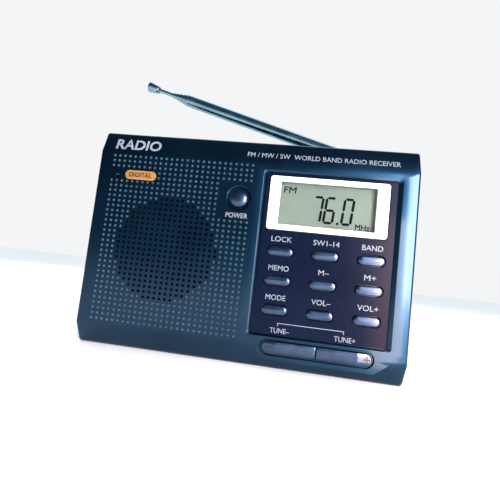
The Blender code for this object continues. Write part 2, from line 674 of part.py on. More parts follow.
def pill_key(name, x, z, material):
    """Key cap with a chamfered pill top, and the flange that keeps it behind the face."""
    bm = bmesh.new()
    add_prism(bm, pill((x, z), KEY_LENGTH, KEY_HEIGHT), "Y", KEY_FRONT_Y, KEY_FLANGE_FRONT_Y + 0.3)
    top = [edge for edge in bm.edges if all(abs(v.co.y - KEY_FRONT_Y) < 0.01 for v in edge.verts)]
    bmesh.ops.bevel(bm, geom=top, offset=0.6, segments=2, profile=0.5, affect="EDGES")
    origin = (x, KEY_FRONT_Y, z)
    piece = add_piece(name, bm, material, origin)
    bm = bmesh.new()
    flange = pill((x, z), KEY_LENGTH, KEY_HEIGHT, KEY_FLANGE_MARGIN, steps=4)
    add_prism(bm, flange, "Y", KEY_FLANGE_FRONT_Y, KEY_FLANGE_BACK_Y)
    shape(piece, "UNION", name + "_flange_tool", bm)
    return piece


def power_key(material):
    """Round power key with a domed front and a flange behind the face."""
    dome = [(0, -15.4), (1.6, -15.25), (3.0, -14.85), (3.8, -14.3), (POWER_RADIUS, -13.8)]
    profile = dome + [(POWER_RADIUS, KEY_FLANGE_FRONT_Y), (POWER_RADIUS + 1.1, KEY_FLANGE_FRONT_Y),
                      (POWER_RADIUS + 1.1, KEY_FLANGE_BACK_Y), (0, KEY_FLANGE_BACK_Y)]
    bm = bmesh.new()
    add_turned(bm, profile, "Y", (POWER_X, POWER_Z), steps=24)
    return add_piece("power_key", bm, material, (POWER_X, -15.4, POWER_Z))


def tune_key(name, low_x, high_x, material):
    """One half of the tuning bar: sloped end pad, a ridge, and a long slope to the split."""
    outward = -1 if low_x <= TUNE_X[0] else 1
    bm = bmesh.new()
    add_prism(bm, tune_outline(low_x, high_x, 0.0), "Y", TUNE_FRONT_Y, KEY_FLANGE_FRONT_Y + 0.3)
    middle = ((low_x + high_x) / 2, TUNE_FRONT_Y, TUNE_Z)
    piece = add_piece(name, bm, material, middle)
    end_x, split_x = (low_x, high_x) if outward < 0 else (high_x, low_x)
    ridge_x = end_x - outward * 5.6
    bm = bmesh.new()
    slopes = [(end_x + outward * 2.0, TUNE_FRONT_Y - 2.0), (end_x + outward * 2.0, TUNE_FRONT_Y + 0.9),
              (ridge_x, TUNE_FRONT_Y), (split_x - outward * 2.0, TUNE_FRONT_Y + 0.65),
              (split_x - outward * 2.0, TUNE_FRONT_Y - 2.0)]
    add_prism(bm, slopes, "Z", TUNE_Z - 5.0, TUNE_Z + 5.0)
    shape(piece, "DIFFERENCE", name + "_slope_tool", bm)
    bm = bmesh.new()
    flange_low = low_x - 0.6 if outward < 0 else low_x + 0.2
    flange_high = high_x - 0.2 if outward < 0 else high_x + 0.6
    add_box(bm, (flange_low, KEY_FLANGE_FRONT_Y, 6.5), (flange_high, KEY_FLANGE_BACK_Y, 13.2))
    shape(piece, "UNION", name + "_flange_tool", bm)
    return piece


def key_board(material):
    """Circuit board behind the keys, with the power switch and clearance round two screw posts."""
    bm = bmesh.new()
    add_box(bm, *KEY_BOARD)
    piece = add_piece("key_board", bm, material)
    bm = bmesh.new()
    add_box(bm, (POWER_X - POWER_SWITCH_HALF, -10.2, POWER_Z - POWER_SWITCH_HALF),
            (POWER_X + POWER_SWITCH_HALF, -8.5, POWER_Z + POWER_SWITCH_HALF))
    shape(piece, "UNION", "power_switch_tool", bm)
    bm = bmesh.new()
    for x, z in SCREW_PLACES:
        if x > KEY_BOARD[0][0]:
            add_prism(bm, circle((x, z), BOSS_RADIUS + 0.8), "Y", -12.0, -5.0)
    shape(piece, "DIFFERENCE", "board_hole_tool", bm)
    return piece


# ---------------------------------------------------------------- badge, light, speaker
def badge_plate(material):
    """Pill-shaped badge set into the face."""
    bm = bmesh.new()
    add_prism(bm, pill((BADGE_X, BADGE_Z), BADGE_LENGTH, BADGE_HEIGHT), "Y", FRONT_Y - 0.35, FRONT_Y + 0.35)
    front = [edge for edge in bm.edges if all(v.co.y < FRONT_Y - 0.3 for v in edge.verts)]
    bmesh.ops.bevel(bm, geom=front, offset=0.2, segments=1, profile=0.5, affect="EDGES")
    return add_piece("badge_plate", bm, material)


def tuning_led(material):
    """Small indicator lamp behind the face."""
    bm = bmesh.new()
    profile = [(0, -14.3), (0.6, -14.15), (0.95, -13.8), (0.95, -12.2), (1.7, -12.2), (1.7, -11.4), (0, -11.4)]
    add_turned(bm, profile, "Y", (LED_X, LED_Z), steps=10)
    return add_piece("tuning_led", bm, material)


def speaker(cloth, frame, paper, magnet):
    """Two-inch loudspeaker: dust cloth, pressed frame, paper cone and magnet."""
    middle = (SPEAKER_X, SPEAKER_Z)
    bm = bmesh.new()
    add_prism(bm, circle(middle, SPEAKER_RADIUS - 1.0, 24), "Y", -12.2, -11.8)
    add_piece("speaker_cloth", bm, cloth)
    bm = bmesh.new()
    basket = [(0, -2.4), (13.4, -2.4), (22.8, -10.4), (22.8, -11.5), (SPEAKER_RADIUS, -11.5),
              (SPEAKER_RADIUS, -10.5), (24.0, -10.3), (14.2, -1.6), (0, -1.6)]
    add_turned(bm, basket, "Y", middle, steps=24)
    add_piece("speaker_basket", bm, frame)
    bm = bmesh.new()
    cone = [(0, -6.4), (4.0, -5.8), (6.8, -4.9), (14.0, -8.2), (20.2, -10.9), (22.2, -11.3), (22.2, -10.7),
            (20.2, -10.3), (14.0, -7.6), (6.8, -4.3), (0, -4.3)]
    add_turned(bm, cone, "Y", middle, steps=24)
    add_piece("speaker_cone", bm, paper)
    bm = bmesh.new()
    body = [(0, -1.3), (11.5, -1.3), (11.5, 4.2), (9.0, 5.4), (0, 5.4)]
    add_turned(bm, body, "Y", middle, steps=20)
    add_piece("speaker_magnet", bm, magnet)


def speaker_lead(material):
    """Insulated lead from the speaker frame to the main board, held inside the case."""
    curve = bpy.data.curves.new("speaker_lead", "CURVE")
    curve.dimensions = "3D"
    curve.bevel_depth = SPEAKER_LEAD_RADIUS * MM
    curve.bevel_resolution = 1
    curve.use_fill_caps = True
    start, end = Vector(SPEAKER_LEAD_START), Vector(SPEAKER_LEAD_END)
    sag = Vector((0.0, *SPEAKER_LEAD_SAG))
    spline = curve.splines.new("POLY")
    spline.points.add(SPEAKER_LEAD_STEPS)
    for step in range(SPEAKER_LEAD_STEPS + 1):
        t = step / SPEAKER_LEAD_STEPS
        point = start.lerp(end, t) + sag * math.sin(math.pi * t)
        spline.points[step].co = (*(point * MM), 1.0)
    piece = bpy.data.objects.new("speaker_lead", curve)
    curve.materials.append(material)
    bpy.context.scene.collection.objects.link(piece)


# ---------------------------------------------------------------- electronics
def jack(name, z, nose_radius, bore_radius, material):
    """Socket on the left wall: square body, round nose through the wall, bore for the plug."""
    bm = bmesh.new()
    add_box(bm, (-SIDE_INNER + 0.3, JACK_Y - JACK_HALF[0], z - JACK_HALF[1]),
            (JACK_BACK_X, JACK_Y + JACK_HALF[0], z + JACK_HALF[1]))
    piece = add_piece(name, bm, material)
    bm = bmesh.new()
    add_prism(bm, circle((JACK_Y, z), nose_radius), "X", -CASE_HALF_WIDTH + 0.1, -SIDE_INNER + 1.5)
    shape(piece, "UNION", name + "_nose_tool", bm)
    bm = bmesh.new()
    add_prism(bm, circle((JACK_Y, z), bore_radius, 12), "X", -80.0, -60.0)
    shape(piece, "DIFFERENCE", name + "_bore_tool", bm)
    return piece


def tuner_can(material):
    """Tinned screening box over the tuner, with two trimming holes."""
    bm = bmesh.new()
    add_box(bm, *TUNER_CAN)
    piece = add_piece("tuner_can", bm, material)
    bm = bmesh.new()
    for x in (14.0, 23.0):
        add_prism(bm, circle((x, 72.0), 1.6, 10), "Y", 4.2, 7.0)
    shape(piece, "DIFFERENCE", "can_hole_tool", bm)
    return piece


def smoothing_capacitor(material):
    """Electrolytic capacitor standing on the main board."""
    bm = bmesh.new()
    profile = [(0, -0.7), (4.0, -0.7), (4.0, 0.3), (3.7, 0.6), (4.0, 0.9), (4.0, 8.0), (3.5, 8.5), (0, 8.5)]
    add_turned(bm, profile, "Y", CAPACITOR_PLACE, steps=14)
    return add_piece("smoothing_capacitor", bm, material)


def ferrite_aerial(ferrite, copper):
    """Ferrite rod under the top of the case with its litz coil."""
    middle = FERRITE_PLACE
    bm = bmesh.new()
    profile = [(0, -60.0), (3.6, -60.0), (4.0, -59.6), (4.0, 9.6), (3.6, 10.0), (0, 10.0)]
    add_turned(bm, profile, "X", middle, steps=14)
    add_piece("ferrite_rod", bm, ferrite)
    bm = bmesh.new()
    add_turned(bm, [(4.25, -52.0), (5.0, -52.0), (5.0, -34.0), (4.25, -34.0)], "X", middle, closed=True, steps=14)
    add_piece("ferrite_coil", bm, copper)


# ---------------------------------------------------------------- antenna
def antenna_base(material):
    """Swivel post through the groove floor, with a two-cheek fork for the rod's knuckle."""
    floor = GROOVE_FLOOR_Z
    profile = [(0, floor - 6.0), (4.0, floor - 6.0), (4.0, floor - 4.7), (4.5, floor - 4.7), (4.5, floor - 2.4),
               (4.0, floor - 2.4), (4.0, floor + 0.3), (4.6, floor + 0.3), (4.6, floor + 2.2), (0, floor + 2.2)]
    bm = bmesh.new()
    add_turned(bm, profile, "Z", (ANTENNA_X, ANTENNA_Y), steps=20)
    piece = add_piece("antenna_base", bm, material, (ANTENNA_X, ANTENNA_Y, floor))
    bm = bmesh.new()
    cheek = [(ANTENNA_X - 3.0, floor + 1.8), (ANTENNA_X + 3.0, floor + 1.8)]
    cheek += arc((ANTENNA_X, ANTENNA_Z), 3.0, 0, 180, 6)
    for side in (-1, 1):
        inner, outer = ANTENNA_Y + side * 2.4, ANTENNA_Y + side * 3.9
        add_prism(bm, cheek, "Y", min(inner, outer), max(inner, outer))
    shape(piece, "UNION", "fork_tool", bm)
    bm = bmesh.new()
    add_prism(bm, circle((ANTENNA_X, ANTENNA_Z), 1.1, 12), "Y", ANTENNA_Y - 6.0, ANTENNA_Y + 6.0)
    shape(piece, "DIFFERENCE", "fork_bore_tool", bm)
    return piece


def antenna_hinge_pin(material):
    """Rivet through the fork and the knuckle."""
    bm = bmesh.new()
    add_prism(bm, circle((ANTENNA_X, ANTENNA_Z), 0.95, 12), "Y", ANTENNA_Y - 4.2, ANTENNA_Y + 4.2)
    return add_piece("antenna_hinge_pin", bm, material)


def rod_axis():
    """Empty on the tilt axis whose local +X runs along the rod."""
    empty = bpy.data.objects.new("antenna_axis", None)
    empty.location = Vector((ANTENNA_X, ANTENNA_Y, ANTENNA_Z)) * MM
    empty.rotation_euler = (0.0, math.pi + ANTENNA_TILT, 0.0)
    bpy.context.scene.collection.objects.link(empty)
    return empty


def antenna_knuckle(axis, material):
    """Flat eye on the hinge pin and the neck that holds the first section."""
    bm = bmesh.new()
    add_prism(bm, circle((0.0, 0.0), 2.9), "Y", -2.1, 2.1)
    piece = add_piece("antenna_knuckle", bm, material, parent=axis)
    bm = bmesh.new()
    add_turned(bm, [(0, 1.6), (2.0, 1.6), (2.0, 4.4), (2.9, 4.8), (2.9, ROD_START - 0.3), (2.5, ROD_START - 0.3),
                    (2.5, 9.0), (0, 9.0)], "X", (0.0, 0.0), steps=16)
    shape_local(piece, "UNION", "knuckle_neck_tool", bm, axis)
    bm = bmesh.new()
    add_prism(bm, circle((0.0, 0.0), 1.1, 12), "Y", -4.0, 4.0)
    shape_local(piece, "DIFFERENCE", "knuckle_bore_tool", bm, axis)
    return piece


def shape_local(target, operation, name, bm, parent):
    """Shape a piece with a tool body given in the frame of the same parent."""
    shape(target, operation, name, bm)
    bpy.data.objects[name].parent = parent


def rod_section(index, axis, material):
    """Telescopic section: open tubes for all but the last, which is a solid rod."""
    outer = ROD_RADII[index]
    start = ROD_START if index == 0 else 8.2 + 1.5 * index
    bm = bmesh.new()
    if index == len(ROD_RADII) - 1:
        profile = [(0, start), (outer, start), (outer, ROD_THIN_END), (0, ROD_THIN_END)]
        add_turned(bm, profile, "X", (0.0, 0.0), steps=10)
    else:
        end = ROD_MAIN_END + ROD_STEP * index
        inner = outer - ROD_WALL
        lip = min(0.3, ROD_STEP / 3)
        profile = [(inner, start), (outer, start), (outer, end - lip), (outer - 0.15, end), (inner, end)]
        add_turned(bm, profile, "X", (0.0, 0.0), closed=True, steps=16)
    return add_piece("antenna_section_" + str(index + 1), bm, material, parent=axis)


def antenna_tip(axis, material):
    """Turned knob at the end of the thin section."""
    start = ROD_THIN_END + 0.3
    profile = [(0, start), (1.6, start), (2.2, start + 0.8), (2.7, ROD_TIP_END - 1.6),
               (2.7, ROD_TIP_END - 0.6), (2.1, ROD_TIP_END), (0, ROD_TIP_END)]
    bm = bmesh.new()
    add_turned(bm, profile, "X", (0.0, 0.0), steps=16)
    return add_piece("antenna_tip", bm, material, parent=axis)


# ---------------------------------------------------------------- assembly
def build():
    """Make every piece of the receiver."""
    clear_scene()
    case_black = finish("moulded_abs_navy", (0.012, 0.022, 0.045), 0.28)
    panel_gloss = finish("gloss_panel_navy", (0.008, 0.014, 0.035), 0.12)
    key_gloss = finish("key_abs_navy", (0.03, 0.04, 0.08), 0.2)
    bezel_white = finish("bezel_abs_white", (0.8, 0.82, 0.82), 0.35)
    clear = finish("acrylic_clear", (0.9, 0.93, 0.92), 0.05, alpha=0.3)
    lcd = finish("lcd_grey_green", (0.35, 0.40, 0.33), 0.3)
    amber = finish("badge_amber", (0.9, 0.45, 0.09), 0.3)
    chrome = finish("chrome_plate", (0.6, 0.62, 0.64), 0.12, 1.0)
    steel = finish("zinc_steel", (0.5, 0.5, 0.5), 0.35, 1.0)
    board = finish("circuit_board", (0.02, 0.12, 0.05), 0.5)
    rubber = finish("silicone_grey", (0.3, 0.3, 0.32), 0.7)
    dark = finish("paper_black", (0.02, 0.02, 0.022), 0.9)
    magnet = finish("ferrite_grey", (0.05, 0.05, 0.055), 0.6)
    copper = finish("litz_copper", (0.6, 0.25, 0.1), 0.4, 1.0)
    sleeve = finish("cell_sleeve", (0.02, 0.05, 0.2), 0.3)

    front_cabinet(case_black)
    rear_cabinet(case_black)
    battery_door(case_black)
    kickstand(case_black)
    kickstand_pin(steel)
    for index, (x, z) in enumerate(SCREW_PLACES):
        case_screw("case_screw_" + str(index + 1), x, z, steel)

    keypad_panel(panel_gloss)
    display_bezel(bezel_white)
    plate("display_window", *DISPLAY_WINDOW, clear)
    plate("lcd_glass", *LCD_GLASS, lcd)
    plate("lcd_light_guide", *LIGHT_GUIDE, clear)
    plate("lcd_connector_strip", *CONNECTOR_STRIP, rubber)
    plate("keypad_membrane", *KEY_MEMBRANE, rubber)
    key_board(board)
    for row, z in enumerate(KEY_ROWS):
        for column, x in enumerate(KEY_COLUMNS):
            pill_key(KEY_NAMES[row][column], x, z, key_gloss)
    power_key(key_gloss)
    tune_key("tune_down_key", TUNE_X[0], TUNE_SPLIT_X - TUNE_SPLIT_GAP / 2, key_gloss)
    tune_key("tune_up_key", TUNE_SPLIT_X + TUNE_SPLIT_GAP / 2, TUNE_X[1], key_gloss)

    badge_plate(amber)
    tuning_led(dark)
    speaker(dark, steel, dark, magnet)
    speaker_lead(rubber)

    plate("main_board", *MAIN_BOARD, board)
    tuner_can(steel)
    smoothing_capacitor(sleeve)
    ferrite_aerial(magnet, copper)
    jack("headphone_jack", JACK_PLACES[0][0], JACK_PLACES[0][1], 1.8, dark)
    jack("dc_jack", JACK_PLACES[1][0], JACK_PLACES[1][1], 2.6, dark)
    for index, z in enumerate(CELL_Z):
        battery_cell("battery_cell_" + str(index + 1), z, 1 if index == 1 else -1, sleeve)
    battery_contact("battery_terminal_plus", -1, 41.0, 50.2, None, steel)
    battery_contact("battery_link_left", -1, 11.0, 35.0, CELL_Z[1], steel)
    battery_contact("battery_link_right", 1, 26.0, 50.2, CELL_Z[0], steel)
    battery_contact("battery_terminal_minus", 1, 11.0, 20.0, CELL_Z[2], steel)

    antenna_base(chrome)
    antenna_hinge_pin(steel)
    axis = rod_axis()
    antenna_knuckle(axis, chrome)
    for index in range(len(ROD_RADII)):
        rod_section(index, axis, chrome)
    antenna_tip(axis, chrome)


build()
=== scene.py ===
"""Looks of a pocket world-band receiver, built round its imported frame.

Every sub-assembly is a class whose fields are its sizes in millimetres. New surfaces are worked
out with numpy as grids and as outlines carried through a profile; carried-over frame nodes are
merged, given small edge rounds and dressed in the same finishes.
"""

from __future__ import annotations

import json
import logging
import math
from dataclasses import dataclass, field
from enum import Enum
from typing import Callable, Sequence

import bmesh
import bpy
import numpy as np
from mathutils import Euler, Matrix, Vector


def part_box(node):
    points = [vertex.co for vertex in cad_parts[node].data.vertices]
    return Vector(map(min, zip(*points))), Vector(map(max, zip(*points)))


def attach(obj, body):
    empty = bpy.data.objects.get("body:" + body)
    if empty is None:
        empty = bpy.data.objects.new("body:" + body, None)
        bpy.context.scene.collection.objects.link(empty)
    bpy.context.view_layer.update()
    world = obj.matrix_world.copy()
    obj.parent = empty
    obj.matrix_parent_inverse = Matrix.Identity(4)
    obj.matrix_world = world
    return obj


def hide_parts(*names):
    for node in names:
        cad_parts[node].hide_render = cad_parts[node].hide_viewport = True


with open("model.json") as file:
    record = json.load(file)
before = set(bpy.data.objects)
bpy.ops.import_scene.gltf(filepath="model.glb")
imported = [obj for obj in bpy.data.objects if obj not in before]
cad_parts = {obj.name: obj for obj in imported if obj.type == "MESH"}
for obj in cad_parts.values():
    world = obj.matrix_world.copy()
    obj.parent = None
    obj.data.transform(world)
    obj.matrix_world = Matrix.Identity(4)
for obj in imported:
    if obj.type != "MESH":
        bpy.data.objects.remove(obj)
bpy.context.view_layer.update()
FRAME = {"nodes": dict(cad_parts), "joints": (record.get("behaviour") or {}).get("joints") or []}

MM = 0.001
WELD_MM = 1e-3
LOG = logging.getLogger("receiver")

# The tuning bar's half-height, the height of its middle, and the lip behind its slot.
TUNE_RADIUS_MM = 2.55
TUNE_MIDDLE_MM = 9.85
TUNE_FLANGE_MM = 0.6
# The power key's lip behind its hole.
POWER_FLANGE_MM = 1.1
# The least gap between a printed or raised layer and the surface under it.
PROUD_MM = 0.01

Outline = Callable[[float], np.ndarray]
Profile = Sequence[tuple[float, float]]


# ------------------------------------------------------------------ places taken from the frame
@dataclass(frozen=True)
class NodeBox:
    """Lowest and highest corner of a frame node, in millimetres."""

    low: np.ndarray
    high: np.ndarray

    @property
    def middle(self) -> np.ndarray:
        """Centre of the box."""
        return (self.low + self.high) / 2

    @property
    def size(self) -> np.ndarray:
        """Lengths of the box's sides."""
        return self.high - self.low


def node_box(node: str) -> NodeBox:
    """Box of a frame node at rest, in millimetres.

    Args:
        node: the node's name in the frame.

    Returns:
        Its lowest and highest corner.
    """
    low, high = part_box(node)
    return NodeBox(np.array(low) / MM, np.array(high) / MM)


# ------------------------------------------------------------------ colour and node helpers
def linear(colour: str) -> tuple[float, float, float, float]:
    """Turn an sRGB hex colour such as '#1a2b3c' into a linear RGBA tuple.

    Each channel c is c / 12.92 below 0.04045 and ((c + 0.055) / 1.055) to the power 2.4 above.
    """
    channels = [int(colour[i:i + 2], 16) / 255 for i in (1, 3, 5)]
    curve = [c / 12.92 if c <= 0.04045 else ((c + 0.055) / 1.055) ** 2.4 for c in channels]
    return (curve[0], curve[1], curve[2], 1.0)


def add_node(tree: bpy.types.NodeTree, kind: str, settings: dict | None = None,
             links: dict | None = None) -> bpy.types.Node:
    """Add one shader node with its settings and links.

    Args:
        tree: the material's node tree.
        kind: the node's type name.
        settings: attribute or input names with their values.
        links: input names or numbers with the sockets that feed them.

    Returns:
        The new node.
    """
    made = tree.nodes.new(kind)
    for key, value in (settings or {}).items():
        if isinstance(key, str) and hasattr(made, key):
            setattr(made, key, value)
        else:
            made.inputs[key].default_value = value
    for key, socket in (links or {}).items():
        tree.links.new(socket, made.inputs[key])
    return made


def two_colour_ramp(tree: bpy.types.NodeTree, factor: bpy.types.NodeSocket,
                    first: str, second: str) -> bpy.types.NodeSocket:
    """Blend two sRGB colours as a factor runs over COLOUR_SPAN."""
    ramp = add_node(tree, "ShaderNodeValToRGB", links={"Fac": factor})
    for stop, position, colour in zip(ramp.color_ramp.elements, COLOUR_SPAN, (first, second)):
        stop.position = position
        stop.color = linear(colour)
    return ramp.outputs["Color"]


class Grain(Enum):
    """How the fine relief of a surface is patterned."""

    SPARK = "noise"
    BRUSHED = "brushed"
    WOVEN = "woven"


# A noise's values crowd round its middle, so colour and roughness are spread over that part only.
COLOUR_SPAN = (0.35, 0.68)
ROUGHNESS_SPAN = (0.3, 0.7)
LEAST_ROUGHNESS = 0.02
BUMP_STRENGTH = 0.6
# Drawn metal's grain is longer along X than across it by one over this.
BRUSH_SQUEEZE = 0.04
# A wave texture of scale 1 repeats every 1 / 6.3 of a unit.
WAVE_REPEAT = 6.3


@dataclass(frozen=True)
class Finish:
    """A real finish: its two close colours, gloss, and the grain that the tool or mould left.

    The colour wanders between the two hex values over patches of mottle_mm. The relief repeats
    every grain_mm and stands relief_mm high. Roughness wanders by rough_spread, as handling
    polishes one patch and dulls the next.
    """

    name: str
    colour: str
    second: str
    roughness: float
    rough_spread: float = 0.06
    metallic: float = 0.0
    ior: float = 1.5
    coat: float = 0.0
    coat_roughness: float = 0.08
    coat_ior: float = 1.5
    mottle_mm: float = 9.0
    grain_mm: float = 0.35
    relief_mm: float = 0.01
    grain: Grain = Grain.SPARK
    transmission: float = 0.0
    sheen: float = 0.0

    def pattern(self, tree: bpy.types.NodeTree,
                place: bpy.types.NodeSocket) -> bpy.types.NodeSocket:
        """Height pattern of the grain.

        Args:
            tree: the material's node tree.
            place: socket with Object coordinates, in metres.

        Returns:
            The socket that carries the height from 0 to 1.
        """
        fine = 1.0 / (self.grain_mm * MM)
        if self.grain is Grain.BRUSHED:
            stretch = add_node(tree, "ShaderNodeMapping", {"Scale": (BRUSH_SQUEEZE, 1.0, 1.0)},
                               {"Vector": place})
            made = add_node(tree, "ShaderNodeTexNoise", {"Scale": fine, "Detail": 3.0},
                            {"Vector": stretch.outputs["Vector"]})
            return made.outputs["Fac"]
        if self.grain is Grain.WOVEN:
            across, along = (
                add_node(tree, "ShaderNodeTexWave",
                         {"wave_type": "BANDS", "bands_direction": axis, "Scale": fine / WAVE_REPEAT},
                         {"Vector": place})
                for axis in "XZ")
            both = add_node(tree, "ShaderNodeMath", {"operation": "MULTIPLY"},
                            {0: across.outputs["Fac"], 1: along.outputs["Fac"]})
            return both.outputs["Value"]
        made = add_node(tree, "ShaderNodeTexNoise",
                        {"Scale": fine, "Detail": 4.0, "Roughness": 0.6}, {"Vector": place})
        return made.outputs["Fac"]

    def material(self) -> bpy.types.Material:
        """Build the finish as a node material, or return the one already built."""
        if self.name in bpy.data.materials:
            return bpy.data.materials[self.name]
        made = bpy.data.materials.new(self.name)
        made.use_nodes = True
        tree = made.node_tree
        shader = tree.nodes["Principled BSDF"]
        place = add_node(tree, "ShaderNodeTexCoord").outputs["Object"]
        patches = add_node(tree, "ShaderNodeTexNoise",
                           {"Scale": 1.0 / (self.mottle_mm * MM), "Detail": 5.0, "Roughness": 0.55},
                           {"Vector": place})
        colour = two_colour_ramp(tree, patches.outputs["Fac"], self.colour, self.second)
        wander = add_node(tree, "ShaderNodeMapRange",
                          {"From Min": ROUGHNESS_SPAN[0], "From Max": ROUGHNESS_SPAN[1],
                           "To Min": max(self.roughness - self.rough_spread, LEAST_ROUGHNESS),
                           "To Max": self.roughness + self.rough_spread},
                          {"Value": patches.outputs["Fac"]})
        bump = add_node(tree, "ShaderNodeBump",
                        {"Strength": BUMP_STRENGTH, "Distance": self.relief_mm * MM},
                        {"Height": self.pattern(tree, place)})
        for socket, source in (("Base Color", colour), ("Roughness", wander.outputs["Result"]),
                               ("Normal", bump.outputs["Normal"])):
            tree.links.new(source, shader.inputs[socket])
        constants = {"Metallic": self.metallic, "IOR": self.ior, "Coat Weight": self.coat,
                     "Coat Roughness": self.coat_roughness, "Coat IOR": self.coat_ior,
                     "Transmission Weight": self.transmission, "Sheen Weight": self.sheen}
        for socket, value in constants.items():
            shader.inputs[socket].default_value = value
        return made


# ABS sprayed with navy metallic lacquer: fine flake gives a broad blue sheen, the clear coat a
# white one.
CASE_ABS = Finish("navy_metallic_lacquer", "#102e44", "#16354b", 0.33, 0.03, metallic=0.98,
                  coat=0.32, coat_roughness=0.15, mottle_mm=22.0, grain_mm=0.5, relief_mm=0.004)
# The lattice's cups take a lighter, softer lacquer: painted highlight that makes the dots read
# bright.
CUP_PAINTED_HIGHLIGHT = Finish("cup_lacquer_painted_highlight", "#33505f", "#3f5f6f", 0.46, 0.03, metallic=0.72,
                     coat=0.5, coat_roughness=0.25, mottle_mm=14.0, grain_mm=0.5, relief_mm=0.004)
# The insert is sheet printed navy from behind, with an anti-glare face that hardly mirrors.
PANEL_GLOSS = Finish("anti_glare_printed_sheet", "#060d20", "#091227", 0.28, 0.03, ior=1.15,
                     mottle_mm=30.0, grain_mm=0.25, relief_mm=0.002)
# Keys carry the same metallic lacquer a shade greyer, rubbed to a satin by fingers.
KEY_ABS = Finish("slate_metallic_lacquer", "#263a54", "#2e4460", 0.33, 0.05, metallic=0.97,
                 coat=0.7, coat_roughness=0.18, coat_ior=1.55, mottle_mm=5.0, grain_mm=0.3,
                 relief_mm=0.005)
# Bare moulded plastic: an even skin with the faint unevenness of a white moulding.
BEZEL_ABS = Finish("moulded_abs_white", "#eef1f3", "#f6f7f8", 0.42, mottle_mm=12.0, grain_mm=0.3,
                   relief_mm=0.004)
# Clear sheet that only darkens and sharpens what lies under it.
WINDOW_ACRYLIC = Finish("cast_acrylic_clear", "#f2f7f5", "#ffffff", 0.03, 0.01, ior=1.25,
                        transmission=1.0, mottle_mm=30.0, relief_mm=0.0005)
# The polariser's grey green, dull as a calculator's display, with its figures printed black.
LCD_GLASS = Finish("polarised_lcd_glass", "#76877a", "#839488", 0.35, 0.04, mottle_mm=26.0,
                   grain_mm=0.6, relief_mm=0.001)
LCD_SEGMENT = Finish("lcd_segment_dark", "#020403", "#040605", 0.6, ior=1.2, relief_mm=0.001)
# Inks lie matt on the gloss round them.
LABEL_INK = Finish("screen_ink_grey", "#6c7580", "#7b8590", 0.5, mottle_mm=3.0, grain_mm=0.15,
                   relief_mm=0.004)
# Pigmented lacquer under a clear coat: a warm tag with a wet edge.
BADGE_AMBER = Finish("lacquered_amber", "#86602f", "#916b3a", 0.25, coat=0.5, mottle_mm=4.0,
                     grain_mm=0.2, relief_mm=0.003)
BADGE_INK = Finish("screen_ink_brown", "#1c0f04", "#261608", 0.5, relief_mm=0.004)
MARK_INK = Finish("screen_ink_black", "#06080c", "#0a0d12", 0.5, relief_mm=0.004)
# An unlit lamp: nearly black, with one point of light on it.
LED_LENS = Finish("tinted_epoxy_lens", "#05070a", "#0a0c10", 0.15, coat=0.5, mottle_mm=1.5)
# Dark plating over brass: a mirror, faintly drawn along its length; its teal cast is painted
# reflection of teal-grey surroundings.
CHROME = Finish("dark_plate_painted_teal_reflection", "#6f8c99", "#7f9ca8", 0.22, 0.05, metallic=1.0,
                mottle_mm=7.0, grain_mm=0.25, relief_mm=0.003, grain=Grain.BRUSHED)
# Zinc's small grey spangle on screws, pins and battery contacts.
ZINC_STEEL = Finish("zinc_plated_steel", "#8d9094", "#a5a8ab", 0.34, metallic=1.0, mottle_mm=2.5,
                    grain_mm=0.2, relief_mm=0.006)
# Black weave that takes the shine out of the speaker holes.
CLOTH = Finish("woven_speaker_cloth", "#050608", "#0a0c0f", 0.9, sheen=0.2, mottle_mm=6.0,
               grain_mm=0.8, relief_mm=0.12, grain=Grain.WOVEN)
PAPER_CONE = Finish("pressed_paper_black", "#101113", "#1a1b1d", 0.85, mottle_mm=3.0,
                    relief_mm=0.03)
# What shows through openings and with the door off: boards, rubber, tinplate and wire.
SOLDER_MASK = Finish("solder_mask_green", "#0c4a26", "#12582f", 0.4, coat=0.3, mottle_mm=3.0,
                     grain_mm=0.6, relief_mm=0.02)
SILICONE = Finish("moulded_silicone_grey", "#8b8d92", "#9a9ca1", 0.7, mottle_mm=4.0, relief_mm=0.01)
TINPLATE = Finish("tinned_steel", "#a3a6a8", "#b8bbbd", 0.3, metallic=1.0, mottle_mm=5.0,
                  grain_mm=0.3, relief_mm=0.006, grain=Grain.BRUSHED)
FERRITE = Finish("sintered_ferrite", "#2a2b2e", "#37383b", 0.6, mottle_mm=2.0, relief_mm=0.02)
COPPER = Finish("lacquered_copper_wire", "#a4582a", "#bf7040", 0.35, metallic=1.0, mottle_mm=2.0,
                grain_mm=0.4, relief_mm=0.08)
SOCKET_NYLON = Finish("moulded_nylon_black", "#0d0e10", "#16171a", 0.5, mottle_mm=3.0)
CELL_SLEEVE = Finish("shrink_sleeve_blue", "#1c3f86", "#27509c", 0.28, coat=0.4, mottle_mm=6.0,
                     grain_mm=0.8, relief_mm=0.006)
# Matt paint with almost no mirror, so the far floor stays as pale as the near one.
FLOOR_PAINT = Finish("matt_studio_paint", "#f0f1f2", "#f4f5f6", 0.75, ior=1.02, mottle_mm=80.0,
                     grain_mm=1.5, relief_mm=0.02)


